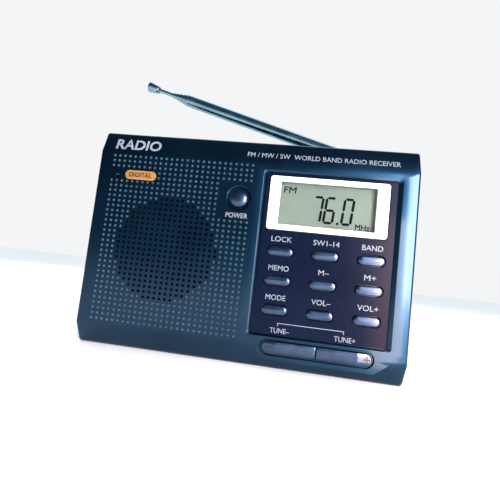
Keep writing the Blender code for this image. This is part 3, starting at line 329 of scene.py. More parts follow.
# ------------------------------------------------------------------ surfaces
@dataclass
class Skin:
    """Surface patches in millimetres, welded into one mesh at the end."""

    points: list[np.ndarray] = field(default_factory=list)
    quads: list[np.ndarray] = field(default_factory=list)
    slots: list[np.ndarray] = field(default_factory=list)
    count: int = 0

    def keep(self, points: np.ndarray, quads: np.ndarray, slot: int = 0) -> None:
        """Add vertices and faces of one material slot; a triangle repeats its last corner."""
        self.points.append(points.reshape(-1, 3))
        self.quads.append(quads.reshape(-1, 4) + self.count)
        self.slots.append(np.full(quads.size // 4, slot, np.int32))
        self.count += points.size // 3

    def grid(self, points: np.ndarray, wrap: bool = False) -> None:
        """Add a sheet of rows x columns points; wrap joins the last column to the first."""
        rows, columns = points.shape[:2]
        index = np.arange(rows * columns).reshape(rows, columns)
        following = np.roll(index, -1, axis=1)
        last = columns if wrap else columns - 1
        quads = np.stack([index[:-1, :last], following[:-1, :last], following[1:, :last],
                          index[1:, :last]], -1)
        self.keep(points, quads)

    def fan(self, loop: np.ndarray, pole: np.ndarray) -> None:
        """Close a loop with triangles to a pole."""
        count = len(loop)
        ring = np.arange(count)
        pole_index = np.full(count, count)
        quads = np.stack([ring, np.roll(ring, -1), pole_index, pole_index], -1)
        self.keep(np.vstack([loop, pole]), quads)

    def stack(self, rings: Sequence[np.ndarray], close_first: bool = False,
              close_last: bool = False) -> None:
        """Join closed rings of equal count in turn, and close the ends with fans where asked."""
        self.grid(np.stack(rings), wrap=True)
        if close_first:
            self.fan(rings[0], rings[0].mean(0))
        if close_last:
            self.fan(rings[-1], rings[-1].mean(0))

    def mesh(self, name: str, smooth_degrees: float = 35.0) -> bpy.types.Mesh:
        """Weld points nearer than WELD_MM, drop collapsed faces and write the mesh in metres.

        Args:
            name: the mesh's name.
            smooth_degrees: edges sharper than this stay sharp in the shading.

        Returns:
            The mesh, its faces pointing outwards.
        """
        points = np.vstack(self.points)
        quads = np.vstack(self.quads)
        _, first, index = np.unique(np.round(points / WELD_MM).astype(np.int64), axis=0,
                                    return_index=True, return_inverse=True)
        points = points[first]
        quads = index.reshape(-1)[quads]
        same = quads == np.roll(quads, -1, axis=1)
        sizes = 4 - same.sum(1)
        whole = sizes >= 3
        quads, same, sizes = quads[whole], same[whole], sizes[whole]
        slots = np.concatenate(self.slots)[whole]
        corners = quads[~same]
        made = bpy.data.meshes.new(name)
        made.vertices.add(len(points))
        made.vertices.foreach_set("co", (points * MM).astype(np.float32).ravel())
        made.loops.add(len(corners))
        made.loops.foreach_set("vertex_index", corners.astype(np.int32))
        made.polygons.add(len(sizes))
        starts = np.concatenate([[0], np.cumsum(sizes)[:-1]])
        made.polygons.foreach_set("loop_start", starts.astype(np.int32))
        made.polygons.foreach_set("loop_total", sizes.astype(np.int32))
        made.polygons.foreach_set("material_index", slots)
        made.update(calc_edges=True)
        made.validate()
        outward(made)
        made.shade_smooth()
        made.set_sharp_from_angle(angle=math.radians(smooth_degrees))
        return made


def outward(mesh: bpy.types.Mesh) -> None:
    """Turn every face of a closed mesh to point out."""
    bm = bmesh.new()
    bm.from_mesh(mesh)
    bmesh.ops.recalc_face_normals(bm, faces=bm.faces)
    bm.to_mesh(mesh)
    bm.free()


def place(mesh: bpy.types.Mesh, name: str, finish: Finish, body: str, slot: str,
          replaced: Sequence[str] = ()) -> bpy.types.Object:
    """Put a mesh in the scene as a piece that rides on a body.

    Args:
        mesh: the piece's mesh, in metres and in place.
        name: the piece's name.
        finish: the finish that it gets.
        body: the frame body that it moves with.
        slot: the record's material slot that it belongs to; not used.
        replaced: the frame nodes that it stands for.

    Returns:
        The piece.
    """
    piece = bpy.data.objects.new(name, mesh)
    bpy.context.scene.collection.objects.link(piece)
    if mesh.materials:
        mesh.materials.clear()
    mesh.materials.append(finish.material())
    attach(piece, body)
    if replaced:
        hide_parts(*replaced)
    LOG.info("piece %s on %s, %d faces, %s", name, body, len(mesh.polygons), finish.name)
    return piece


def solid(rings: Sequence[np.ndarray], name: str, finish: Finish, body: str, slot: str,
          replaced: Sequence[str] = ()) -> bpy.types.Object:
    """Make a piece from rings joined in turn and closed at both ends.

    Args:
        rings: the closed rings, of equal count, in millimetres.
        name: the piece's name.
        finish: the finish that it gets.
        body: the frame body that it moves with.
        slot: the record's material slot that it belongs to.
        replaced: the frame nodes that it stands for.

    Returns:
        The piece.
    """
    skin = Skin()
    skin.stack(rings, True, True)
    return place(skin.mesh(name), name, finish, body, slot, replaced)


# ------------------------------------------------------------------ outlines and rings
def rounded_outline(low: Sequence[float], high: Sequence[float], radius: float, steps: int = 6,
                    along: int = 2) -> Outline:
    """Outline of a rounded rectangle as a function of its inset.

    Each corner is a quarter circle about a core corner that doesn't move, so the radius shrinks
    with the inset; each side holds evenly spaced points between two quarter circles.
    """
    core_low = np.array(low, float) + radius
    core_high = np.array(high, float) - radius

    def outline(inset: float) -> np.ndarray:
        corners = [(core_high[0], core_high[1], 0), (core_low[0], core_high[1], 90),
                   (core_low[0], core_low[1], 180), (core_high[0], core_low[1], 270)]
        parts = []
        for x, z, start in corners:
            angle = np.radians(np.linspace(start, start + 90, steps + 1))
            reach = radius - inset
            parts.append(np.stack([x + reach * np.cos(angle), z + reach * np.sin(angle)], -1))
        filled = []
        for part, following in zip(parts, parts[1:] + parts[:1]):
            share = np.linspace(0, 1, along + 1)[1:-1, None]
            filled += [part, part[-1] + (following[0] - part[-1]) * share]
        return np.vstack(filled)

    return outline


def lift(outline: np.ndarray, y: float) -> np.ndarray:
    """Turn an (x, z) outline into points at depth y."""
    return np.stack([outline[:, 0], np.full(len(outline), y), outline[:, 1]], -1)


def profiled(outline: Outline, profile: Profile) -> list[np.ndarray]:
    """Rings of an outline carried through (inset, y) steps."""
    return [lift(outline(inset), y) for inset, y in profile]


def dome(inset: float, low_y: float, high_y: float, steps: int) -> list[tuple[float, float]]:
    """Quarter-ellipse of (inset, y) steps from an edge at low_y inwards and up to high_y."""
    angle = np.linspace(0, math.pi / 2, steps + 1)
    return [(inset * (1 - math.cos(a)), low_y + (high_y - low_y) * math.sin(a)) for a in angle]


def turned(profile: Profile, base: np.ndarray, axis: np.ndarray, steps: int) -> list[np.ndarray]:
    """Rings of a (radius, along) profile turned about an axis.

    Each ring is base + along * axis + radius * (cos t * u + sin t * v), with u and v square to the
    axis and to each other and t from 0 to a full turn.
    """
    axis = axis / np.linalg.norm(axis)
    helper = np.array([0.0, 1.0, 0.0]) if abs(axis[1]) < 0.9 else np.array([1.0, 0.0, 0.0])
    across = np.cross(axis, helper)
    across /= np.linalg.norm(across)
    upward = np.cross(axis, across)
    angle = np.linspace(0, 2 * math.pi, steps, endpoint=False)[:, None]
    circle = np.cos(angle) * across + np.sin(angle) * upward
    return [base + along * axis + radius * circle for radius, along in profile]


def towards_core(points: np.ndarray, low: np.ndarray, high: np.ndarray,
                 radius: float) -> np.ndarray:
    """Slide (x, z) points onto the rounded rectangle that lies radius outside a core box.

    Each point goes to its nearest core point, plus radius along the line between the two.
    """
    core = np.clip(points, low, high)
    away = points - core
    length = np.linalg.norm(away, axis=1, keepdims=True)
    return core + away / np.maximum(length, 1e-9) * radius


def column(x: float, zs: np.ndarray) -> np.ndarray:
    """Upright line of (x, z) points."""
    return np.stack([np.full(len(zs), x), zs], -1)


def row(xs: np.ndarray, z: float) -> np.ndarray:
    """Level line of (x, z) points."""
    return np.stack([xs, np.full(len(xs), z)], -1)


def loop_of(bottom: np.ndarray, right: np.ndarray, top: np.ndarray, left: np.ndarray) -> np.ndarray:
    """Anticlockwise loop of four lines that share their ends, each given in rising x or z."""
    return np.vstack([bottom[:-1], right[:-1], top[::-1][:-1], left[::-1][:-1]])


def rectangle_loop(xs: np.ndarray, zs: np.ndarray) -> np.ndarray:
    """Anticlockwise (x, z) loop round a rectangle, with a point at each given x and z."""
    return loop_of(row(xs, zs[0]), column(xs[-1], zs), row(xs, zs[-1]), column(xs[0], zs))


def grid_border(points: np.ndarray) -> np.ndarray:
    """Border of a grid of points, in order round it."""
    return np.vstack([points[0, :-1], points[:-1, -1], points[-1, :0:-1], points[:0:-1, 0]])


def cell_quads(cells: int, layers: int) -> np.ndarray:
    """Faces between the layers, of eight points each, that every one of many cells has."""
    index = np.arange(cells * layers * 8).reshape(cells, layers, 8)
    following = np.roll(index, -1, axis=2)
    return np.stack([index[:, :-1], following[:, :-1], following[:, 1:], index[:, 1:]], -1)


# ------------------------------------------------------------------ front of the case
@dataclass
class FrontCabinet:
    """Front half of the case: dotted face, speaker holes, key dish, panel rim, tuning groove.

    The face is a grid of lattice cells on the left and, on the right, two windows that meet along
    a line: at split_height within split_span, and at a lattice row outside it. The right grid has
    extra columns at the apron's corners and at bevel_breaks beside the panel's recess. The cavity's
    slope falls by cavity_slope[0] to end at the depth cavity_slope[1] in front of the seam. Turns
    are angles in degrees at which the foot's and the crown's arcs begin and end.
    """

    wall: float = 2.0
    seam_gap: float = 0.15
    side_round: float = 1.2
    round_steps: int = 4
    chin_crease: float = 9.4
    top_crease: float = 89.2
    foot: tuple[float, float] = (-10.9, 1.0)
    foot_radius: float = 2.4
    foot_turn: tuple[float, float] = (205, 270)
    crown: float = -11.9
    crown_radius: float = 1.5
    crown_turn: tuple[float, float] = (163, 90)
    arc_points: int = 5
    cavity_foot: float = 10.2
    cavity_foot_at_keys: float = 5.9
    cavity_head: float = 88.4
    cavity_slope: tuple[float, float] = (8.2, 8.6)
    cavity_brow: float = -10.2
    end_middle_y: float = -6.0
    pitch: tuple[float, float] = (2.5, 2.34375)
    columns: int = 27
    rows: int = 33
    lattice_corner: tuple[float, float] = (6.125, 11.016)
    dot_radius: float = 0.68
    dot_depth: float = 0.46
    hole_radius: float = 0.46
    grille_radius: float = 23.2
    badge_margin: tuple[float, float, float] = (1.2, 0.3, 0.6)
    lamp_bore: float = 1.0
    lamp_lead: float = 0.15
    dish_column: int = 21
    dish_rows: tuple[int, int] = (4, 11)
    dish_radius: float = 5.75
    dish_depth: float = 1.1
    key_gap: float = 0.3
    panel_sunk: float = 0.05
    panel_gap: float = 0.3
    panel_clearance: float = 0.2
    bevel_left: float = 1.1
    bevel_right: float = 1.7
    bevel_foot: float = 0.9
    bevel_head: float = 1.1
    bevel_depth: float = 0.85
    bevel_corner: float = 1.5
    bevel_steps: Profile = ((0.0, 0.0), (0.06, 0.02), (0.14, 0.09), (0.94, 0.93), (1.0, 1.0))
    recess_corner: float = 0.8
    ledge: float = 2.4
    right_columns: int = 42
    column_clearance: float = 0.5
    bevel_breaks: tuple[float, float] = (1.5, 1.9)
    split_height: float = 13.83
    split_span: tuple[float, float] = (4.0, 67.0)
    groove_margin: float = 1.05
    groove_depth: float = 1.0
    apron: tuple[tuple[float, float], ...] = (
        (10.1, 9.4), (10.5, 8.2), (11.5, 6.6), (13.2, 5.2), (15.3, 4.55), (58.6, 4.55), (65.2, 9.4))
    apron_round: float = 0.5

    def __post_init__(self) -> None:
        """Take the places of the case and of what it frames from the frame's nodes."""
        case = node_box("front_cabinet")
        panel = node_box("keypad_panel")
        self.power = node_box("power_key")
        self.lamp = node_box("tuning_led")
        self.cloth = node_box("speaker_cloth")
        self.half = case.high[0]
        self.top = float(node_box("rear_cabinet").high[2])
        self.face = round(panel.low[1] - self.panel_sunk, 3)
        self.back = self.face + self.wall
        self.panel_low = panel.low[[0, 2]] - self.panel_gap
        self.panel_high = panel.high[[0, 2]] + self.panel_gap
        self.panel_floor = panel.high[1] + self.panel_clearance
        self.tune_x = (node_box("tune_down_key").low[0] + TUNE_FLANGE_MM,
                       node_box("tune_up_key").high[0] - TUNE_FLANGE_MM)
        corner = case.low[[0, 2]] + self.lattice_corner
        self.xs = corner[0] + self.pitch[0] / 2 * np.arange(2 * self.columns + 1)
        self.zs = corner[1] + self.pitch[1] / 2 * np.arange(2 * self.rows + 1)
        self.full_zs = np.concatenate([[self.chin_crease], self.zs, [self.top_crease]])
        self.edge_x = self.half - self.side_round
        self.left_xs = np.array([-self.edge_x, (-self.edge_x + self.xs[0]) / 2, self.xs[0]])
        breaks = [x for x, _ in self.apron] + [self.panel_low[0] - self.bevel_breaks[0],
                                               self.panel_high[0] + self.bevel_breaks[1]]
        even = np.linspace(self.xs[-1], self.edge_x, self.right_columns)
        far = [x for x in even if min(abs(x - b) for b in breaks) > self.column_clearance]
        self.right_xs = np.array(sorted([*far, *breaks]))
        self.right_xs[0], self.right_xs[-1] = self.xs[-1], self.edge_x

    # ---- planes
    def inner(self, points: np.ndarray) -> np.ndarray:
        """Clip (x, z) points to the inside of the cabinet's walls."""
        limit = self.half - self.wall
        at_keys = (points[:, 0] > self.apron[0][0]) & (points[:, 0] < self.apron[-1][0])
        low = np.where(at_keys, self.cavity_foot_at_keys, self.cavity_foot)
        return np.stack([np.clip(points[:, 0], -limit, limit),
                         np.clip(points[:, 1], low, self.cavity_head)], -1)

    def flat_plane(self, points: np.ndarray, outer: bool) -> np.ndarray:
        """Lift (x, z) points to the face, or clipped to the wall's back."""
        return lift(points, self.face) if outer else lift(self.inner(points), self.back)

    def sheet(self, skin: Skin, xs: np.ndarray, zs: np.ndarray, outer: bool) -> None:
        """Add a plain rectangle of the face or of its back."""
        x, z = np.meshgrid(xs, zs)
        points = self.flat_plane(np.stack([x.ravel(), z.ravel()], -1), outer)
        skin.grid(points.reshape(len(zs), len(xs), 3))

    def cells(self) -> tuple[np.ndarray, np.ndarray, np.ndarray]:
        """Middles of the lattice's cells that hold dots, speaker holes, and nothing.

        A cell is a hole inside the grille's circle, blank under the badge, else a dot; the power
        key's window and the lamp's cell are left to their own patches.
        """
        column, row = np.meshgrid(np.arange(self.columns), np.arange(self.rows))
        x = self.xs[0] + (column + 0.5) * self.pitch[0]
        z = self.zs[0] + (row + 0.5) * self.pitch[1]
        window = ((column >= self.dish_column) & (row >= self.rows - self.dish_rows[1])
                  & (row < self.rows - self.dish_rows[0]))
        hole = np.hypot(x - self.cloth.middle[0], z - self.cloth.middle[2]) < self.grille_radius
        lamp = ((abs(x - self.lamp.middle[0]) < self.pitch[0] / 2)
                & (abs(z - self.lamp.middle[2]) < self.pitch[1] / 2))
        badge, (beside, below, above) = node_box("badge_plate"), self.badge_margin
        blank = ((x > self.xs[0]) & (x < badge.high[0] + beside) & (z > badge.low[2] + below)
                 & (z < badge.high[2] + above) & ~lamp)
        places = np.stack([x, z], -1)
        return (places[~window & ~hole & ~blank & ~lamp], places[~window & hole],
                places[~window & blank])

    def tile(self, skin: Skin, middles: np.ndarray, rings: Profile, outer: bool,
             pole: float | None = None, painted_highlight_rings: int = 0) -> None:
        """Add one patch per lattice cell: its square border, then eight-sided rings.

        Ring k of a cell has the points middle + radius_k * (cos t, sin t) for eight values of t at
        depth y_k; the border's eight points are the cell's corners and the middles of its sides.

        Args:
            skin: the surface that the patches join.
            middles: the cells' middles.
            rings: (radius, y) of each ring.
            outer: whether the border lies on the face, else on the wall's back.
            pole: y of the point that closes the last ring, if it is closed.
            painted_highlight_rings: how many of the last rings take the cups' lighter lacquer, a
                painted highlight.
        """
        angle = np.radians(np.arange(8) * 45.0)
        direction = np.stack([np.cos(angle), np.sin(angle)], -1)
        border = np.sign(np.round(direction, 3)) * np.array(self.pitch) / 2
        flat = middles[:, None, :] + border[None]
        layers = [self.flat_plane(flat.reshape(-1, 2), outer)]
        for radius, y in rings:
            layers.append(lift((middles[:, None, :] + direction[None] * radius).reshape(-1, 2), y))
        points = np.stack([layer.reshape(len(middles), 8, 3) for layer in layers], 1)
        within = len(rings) - painted_highlight_rings
        skin.keep(points, cell_quads(len(middles), len(layers))[:, :within])
        if painted_highlight_rings:
            skin.keep(points[:, within:], cell_quads(len(middles), painted_highlight_rings + 1), 1)
        if pole is not None:
            fans = np.concatenate([points[:, -1], lift(middles, pole)[:, None]], 1)
            ring = np.arange(8)
            local = np.stack([ring, np.roll(ring, -1), np.full(8, 8), np.full(8, 8)], -1)
            faces = (np.arange(len(middles)) * 9)[:, None, None] + local[None]
            skin.keep(fans, faces, 1 if painted_highlight_rings else 0)

    def lattice(self, skin: Skin) -> None:
        """Dots as shallow cups, speaker holes as tubes through the wall, and blank cells."""
        dots, holes, blanks = self.cells()
        face, back, dot, deep = self.face, self.back, self.dot_radius, self.dot_depth
        cup = [(dot, face), (dot * 0.86, face + deep * 0.45), (dot * 0.5, face + deep * 0.88)]
        tube = [*cup[:2], (self.hole_radius, face + deep * 0.8), (self.hole_radius, back)]
        # The last rings of each dot take the cups' lighter lacquer, a painted highlight.
        self.tile(skin, dots, cup, True, face + deep, 2)
        self.tile(skin, holes, tube, True)
        self.tile(skin, blanks, [(dot, face)], True, face)
        for middles in (dots, blanks):
            self.tile(skin, middles, [(dot, back)], False, back)
        self.tile(skin, holes, [(self.hole_radius, back)], False)
        lamp = self.nearest_cell(self.lamp.middle[[0, 2]])
        bore, lead = self.lamp_bore, self.lamp_lead
        self.tile(skin, lamp, [(bore + lead, face), (bore, face + lead), (bore, back)], True)
        self.tile(skin, lamp, [(bore, back)], False)

    def nearest_cell(self, point: np.ndarray) -> np.ndarray:
        """Middle of the lattice cell that holds a point, as a list of one."""
        corner = np.array([self.xs[0], self.zs[0]])
        index = np.floor((point - corner) / np.array(self.pitch))
        return (corner + (index + 0.5) * np.array(self.pitch))[None]

    # ---- windows: a border loop carried to a rounded opening
    def dish_window(self, skin: Skin) -> None:
        """Dished recess and hole of the power key, inside its rectangle of blank cells."""
        xs = self.xs[2 * self.dish_column:]
        first, last = (2 * (self.rows - row) for row in reversed(self.dish_rows))
        loop = rectangle_loop(xs, self.zs[first:last + 1])
        middle = self.power.middle[[0, 2]]
        hole = self.power.size[0] / 2 - POWER_FLANGE_MM + self.key_gap
        rim, deep = self.dish_radius, self.dish_depth
        bowl = [(rim, 0.0), (rim - 0.15, 0.12), (rim - 0.5, 0.5), (hole + 0.5, deep - 0.05),
                (hole + 0.05, deep), (hole, deep + 0.1), (hole, self.wall)]
        self.opening(skin, loop, middle, middle, bowl)

    def opening(self, skin: Skin, loop: np.ndarray, low: np.ndarray, high: np.ndarray,
                profile: Profile) -> None:
        """Carry a border loop through (radius, depth) steps round a core box, to the wall's back.

        Args:
            skin: the surface that the opening joins.
            loop: the border, on the face.
            low: the core box's lowest corner.
            high: its highest corner.
            profile: the radius about the core and the depth below the face at each step.
        """
        rings = [lift(loop, self.face)]
        rings += [lift(towards_core(loop, low, high, radius), self.face + depth)
                  for radius, depth in profile]
        rings.append(self.flat_plane(loop, False))
        skin.stack(rings)

    def split_line(self) -> np.ndarray:
        """(x, z) line between the panel's window and the tuning groove's window."""
        between = (self.right_xs > self.split_span[0]) & (self.right_xs < self.split_span[1])
        return np.stack([self.right_xs, np.where(between, self.split_height, self.zs[2])], -1)

    def panel_window(self, skin: Skin) -> None:
        """Bevel down round the panel, its recess, and the ledge that the panel rests on."""
        zs = self.full_zs[3:]
        loop = loop_of(self.split_line(), column(self.edge_x, zs),
                       row(self.right_xs, self.top_crease), column(self.xs[-1], zs))
        corner = self.bevel_corner
        low = self.panel_low - [self.bevel_left, self.bevel_foot] + corner
        high = self.panel_high + [self.bevel_right, self.bevel_head] - corner
        outer = towards_core(loop, low, high, corner)
        low, high = self.panel_low + self.recess_corner, self.panel_high - self.recess_corner
        inner = towards_core(loop, low, high, self.recess_corner)
        rings = [lift(loop, self.face)]
        rings += [lift(outer + (inner - outer) * share, self.face + self.bevel_depth * sunk)
                  for share, sunk in self.bevel_steps]
        rings.append(lift(inner, self.panel_floor))
        shelf = towards_core(loop, low + self.ledge, high - self.ledge, self.recess_corner)
        rings += [lift(shelf, self.panel_floor), lift(shelf, self.back),
                  self.flat_plane(loop, False)]
        skin.stack(rings)

    def apron_edge(self, xs: np.ndarray) -> np.ndarray:
        """Height of the face's lower edge: the chin crease, lower round the tuning keys."""
        x, z = np.array(self.apron).T
        return np.interp(xs, x, z, left=self.chin_crease, right=self.chin_crease)

    def groove_window(self, skin: Skin) -> None:
        """Obround groove round the tuning keys and the slot that they come through."""
        zs = self.full_zs[:4]
        bottom = np.stack([self.right_xs, self.apron_edge(self.right_xs)], -1)
        loop = loop_of(bottom, column(self.edge_x, zs), self.split_line(), column(self.xs[-1], zs))
        low = np.array([self.tune_x[0] + TUNE_RADIUS_MM, TUNE_MIDDLE_MM])
        high = np.array([self.tune_x[1] - TUNE_RADIUS_MM, TUNE_MIDDLE_MM])
        rim, deep = TUNE_RADIUS_MM + self.groove_margin, self.groove_depth
        slot = TUNE_RADIUS_MM + self.key_gap
        steps = [(rim, 0.0), (rim - 0.12, 0.12), (rim - 0.2, deep - 0.15), (rim - 0.35, deep),
                 (slot, deep), (slot, self.wall)]
        self.opening(skin, loop, low, high, steps)

    # ---- bands above and below the face
    def slope_y(self, z: np.ndarray) -> np.ndarray:
        """Depth of the chin's slope at a height: a line from the crease to the foot."""
        share = (self.chin_crease - z) / (self.chin_crease - self.foot[1])
        return self.face + share * (self.foot[0] - self.face)

    def chin(self, xs: np.ndarray, outer: bool) -> np.ndarray:
        """Rows of points from the face's lower edge down the chin to the seam, over all xs."""
        if outer:
            z = self.apron_edge(xs)
            drop = np.clip((self.chin_crease - z) * 0.2, 0.0, self.apron_round)
            rows = [(self.face, z), (self.slope_y(z - drop) - drop * 0.1, z - drop)]
            angle = np.radians(np.linspace(*self.foot_turn, self.arc_points))
            middle = np.array([self.foot[0] + self.foot_radius, self.foot_radius])
            rows += [middle + self.foot_radius * np.array([math.cos(a), math.sin(a)])
                     for a in angle]
            rows.append((-self.seam_gap, 0.0))
        else:
            xs, z = self.inner(row(xs, 0.0)).T
            down, lead = self.cavity_slope
            slope = self.back - (self.cavity_foot - z) / down * (self.back + lead)
            rows = [(self.back, z), (slope, z), (-lead, self.wall), (-self.seam_gap, self.wall)]
        return np.stack([np.stack(np.broadcast_arrays(xs, y, z), -1) for y, z in rows])

    def brow(self, xs: np.ndarray, outer: bool) -> np.ndarray:
        """Rows of points from the face's upper crease over the top band to the seam."""
        if outer:
            angle = np.radians(np.linspace(*self.crown_turn, self.arc_points))
            middle_y, middle_z = self.crown + self.crown_radius, self.top - self.crown_radius
            steps = [(self.face, self.top_crease)]
            steps += [(middle_y + self.crown_radius * math.cos(a),
                       middle_z + self.crown_radius * math.sin(a)) for a in angle]
            steps.append((-self.seam_gap, self.top))
        else:
            xs = np.clip(xs, -(self.half - self.wall), self.half - self.wall)
            ceiling = self.top - self.wall
            steps = [(self.back, self.cavity_head), (self.cavity_brow, ceiling),
                     (-self.seam_gap, ceiling)]
        return np.stack([np.stack(np.broadcast_arrays(xs, y, z), -1) for y, z in steps])

    def end_profile(self, x: float, outer: bool) -> np.ndarray:
        """(y, z) profile of the skin at x, from the seam's foot up the face to the seam's top."""
        edge = np.array([x])
        lower = self.chin(edge, outer)[:, 0, 1:][::-1]
        upper = self.brow(edge, outer)[:, 0, 1:]
        plane = self.flat_plane(column(x, self.full_zs), outer)[:, 1:]
        return np.vstack([lower[:-1], plane, upper[1:]])

    def sides(self, skin: Skin) -> np.ndarray:
        """Round the case's two ends: the profile shrinks as it turns out to the side wall.

        At an angle t the profile lies side_round * sin t further out and is inset by
        side_round * (1 - cos t) along its own normals.
        """
        profile = self.end_profile(self.edge_x, True)
        keep = np.concatenate([[True], np.linalg.norm(np.diff(profile, axis=0), axis=1) > 1e-6])
        profile = profile[keep]
        ahead = np.gradient(profile, axis=0)
        normal = np.stack([-ahead[:, 1], ahead[:, 0]], -1)
        normal /= np.linalg.norm(normal, axis=1, keepdims=True)
        normal[0], normal[-1] = (0.0, -1.0), (0.0, 1.0)
        if normal[len(normal) // 2, 0] > 0:
            normal[1:-1] *= -1
        corners = []
        for side in (-1, 1):
            rows = []
            for angle in np.linspace(0, math.pi / 2, self.round_steps + 1):
                inset = self.side_round * (1 - math.cos(angle))
                x = side * (self.edge_x + self.side_round * math.sin(angle))
                yz = profile - normal * inset
                rows.append(np.stack([np.full(len(yz), x), yz[:, 0], yz[:, 1]], -1))
            skin.grid(np.stack(rows))
            skin.fan(rows[-1], np.array([side * self.half, self.face / 2, self.top / 2]))
            corners.append(np.stack([row[[0, -1]] for row in rows]))
        return np.stack(corners)

    def inner_ends(self, skin: Skin) -> None:
        """Close the inside at both ends with flat walls."""
        limit = self.half - self.wall
        profile = self.end_profile(limit, False)
        for side in (-1, 1):
            loop = np.stack([np.full(len(profile), side * limit), *profile.T], -1)
            skin.fan(loop, np.array([side * limit, self.end_middle_y, self.top / 2]))

    def seam(self, skin: Skin, corners: np.ndarray, all_xs: np.ndarray) -> None:
        """Rim between the outer and the inner skin where the two case halves meet."""
        bottom = lift(row(all_xs, 0.0), -self.seam_gap)
        top = lift(row(all_xs, self.top), -self.seam_gap)
        right_low, right_high = corners[1][:, 0], corners[1][::-1, 1]
        left_high, left_low = corners[0][:, 1], corners[0][::-1, 0]
        loop = np.vstack([bottom, right_low[1:], right_high[:-1], top[::-1], left_high[1:],
                          left_low[:-1]])
        limit = self.half - self.wall
        inner = loop.copy()
        inner[:, 0] = np.clip(loop[:, 0], -limit, limit)
        inner[:, 2] = np.clip(loop[:, 2], self.wall, self.top - self.wall)
        skin.stack([loop, inner])

    def build(self) -> bpy.types.Object:
        """Make the whole front half as one closed mesh."""
        skin = Skin()
        self.lattice(skin)
        self.dish_window(skin)
        self.panel_window(skin)
        self.groove_window(skin)
        all_xs = np.concatenate([self.left_xs[:-1], self.xs[:-1], self.right_xs])
        for outer in (True, False):
            self.sheet(skin, self.left_xs, self.full_zs, outer)
            self.sheet(skin, self.xs, self.full_zs[:2], outer)
            self.sheet(skin, self.xs, self.full_zs[-2:], outer)
            skin.grid(self.chin(all_xs, outer))
            skin.grid(self.brow(all_xs, outer))
        corners = self.sides(skin)
        self.inner_ends(skin)
        self.seam(skin, corners, all_xs)
        mesh = skin.mesh("front_cabinet_face", 28.0)
        piece = place(mesh, "front_cabinet_face", CASE_ABS, "case", "case_abs", ["front_cabinet"])
        # Second slot: the cups' lighter lacquer, a painted highlight.
        mesh.materials.append(CUP_PAINTED_HIGHLIGHT.material())
        return piece


# ------------------------------------------------------------------ keypad panel
KEY_ROWS = (("key_mode", "key_volume_down", "key_volume_up"),
            ("key_memory", "key_memory_down", "key_memory_up"),
            ("key_lock", "key_short_wave", "key_band"))


@dataclass
class KeypadPanel:
    """Anti-glare panel pierced for the nine keys and for the display bezel."""

    hole_gap: float = 0.3
    hole_round: float = 0.22
    flange: float = 1.0
    bezel_corner: float = 1.4
    samples: int = 9
    bezel_samples: int = 17
    divide_z: float = 57.6
    edge: float = 0.3

    def build(self) -> bpy.types.Object:
        """Make the panel: a grid of windows, each carried to its own opening and to the back."""
        skin = Skin()
        box = node_box("keypad_panel")
        front, back = box.low[1], box.high[1]
        middles = [[node_box(key).middle for key in row] for row in KEY_ROWS]
        low, high = box.low[[0, 2]] + self.edge, box.high[[0, 2]] - self.edge
        column_x, row_z = [m[0] for m in middles[0]], [row[0][2] for row in middles]
        split_x = [low[0], *((a + b) / 2 for a, b in zip(column_x, column_x[1:])), high[0]]
        split_z = [low[1], *((a + b) / 2 for a, b in zip(row_z, row_z[1:])), self.divide_z]
        lines_x = [np.linspace(a, b, self.samples * 2) for a, b in zip(split_x, split_x[1:])]
        lines_z = [np.linspace(a, b, self.samples) for a, b in zip(split_z, split_z[1:])]
        key = node_box("key_lock")
        radius = key.size[2] / 2 - self.flange + self.hole_gap
        reach = np.array([(key.size[0] - key.size[2]) / 2, 0.0])
        for zs, row_middles in zip(lines_z, middles):
            for xs, key_middle in zip(lines_x, row_middles):
                middle = key_middle[[0, 2]]
                self.window(skin, rectangle_loop(xs, zs), middle - reach, middle + reach, radius,
                            front, back)
        bezel = node_box("display_bezel")
        xs = np.unique(np.concatenate(lines_x))
        zs = np.linspace(self.divide_z, high[1], self.bezel_samples)
        core_low = bezel.low[[0, 2]] - self.hole_gap + self.bezel_corner
        core_high = bezel.high[[0, 2]] + self.hole_gap - self.bezel_corner
        self.window(skin, rectangle_loop(xs, zs), core_low, core_high, self.bezel_corner, front,
                    back)
        rim = rectangle_loop(xs, np.unique(np.concatenate([*lines_z, zs])))
        middle = (rim.max(0) + rim.min(0)) / 2
        grown = middle + (rim - middle) * (1 + self.edge / ((rim.max(0) - rim.min(0)) / 2))
        skin.stack([lift(rim, front), lift(grown, front + self.edge), lift(grown, back),
                    lift(rim, back)])
        return place(skin.mesh("keypad_face"), "keypad_face", PANEL_GLOSS, "case", "panel_gloss",
                     ["keypad_panel"])

    def window(self, skin: Skin, loop: np.ndarray, low: np.ndarray, high: np.ndarray,
               radius: float, front: float, back: float) -> None:
        """Carry a rectangular loop to an opening, through the panel, and back out behind.

        Args:
            skin: the surface that the window joins.
            loop: the rectangle round the window.
            low: lowest corner of the opening's core box.
            high: its highest corner.
            radius: the opening's radius about the core.
            front: y of the panel's face.
            back: y of its back.
        """
        hole = towards_core(loop, low, high, radius)
        brink = towards_core(loop, low, high, radius + self.hole_round)
        skin.stack([lift(loop, front), lift(brink, front), lift(hole, front + self.hole_round),
                    lift(hole, back), lift(loop, back)])


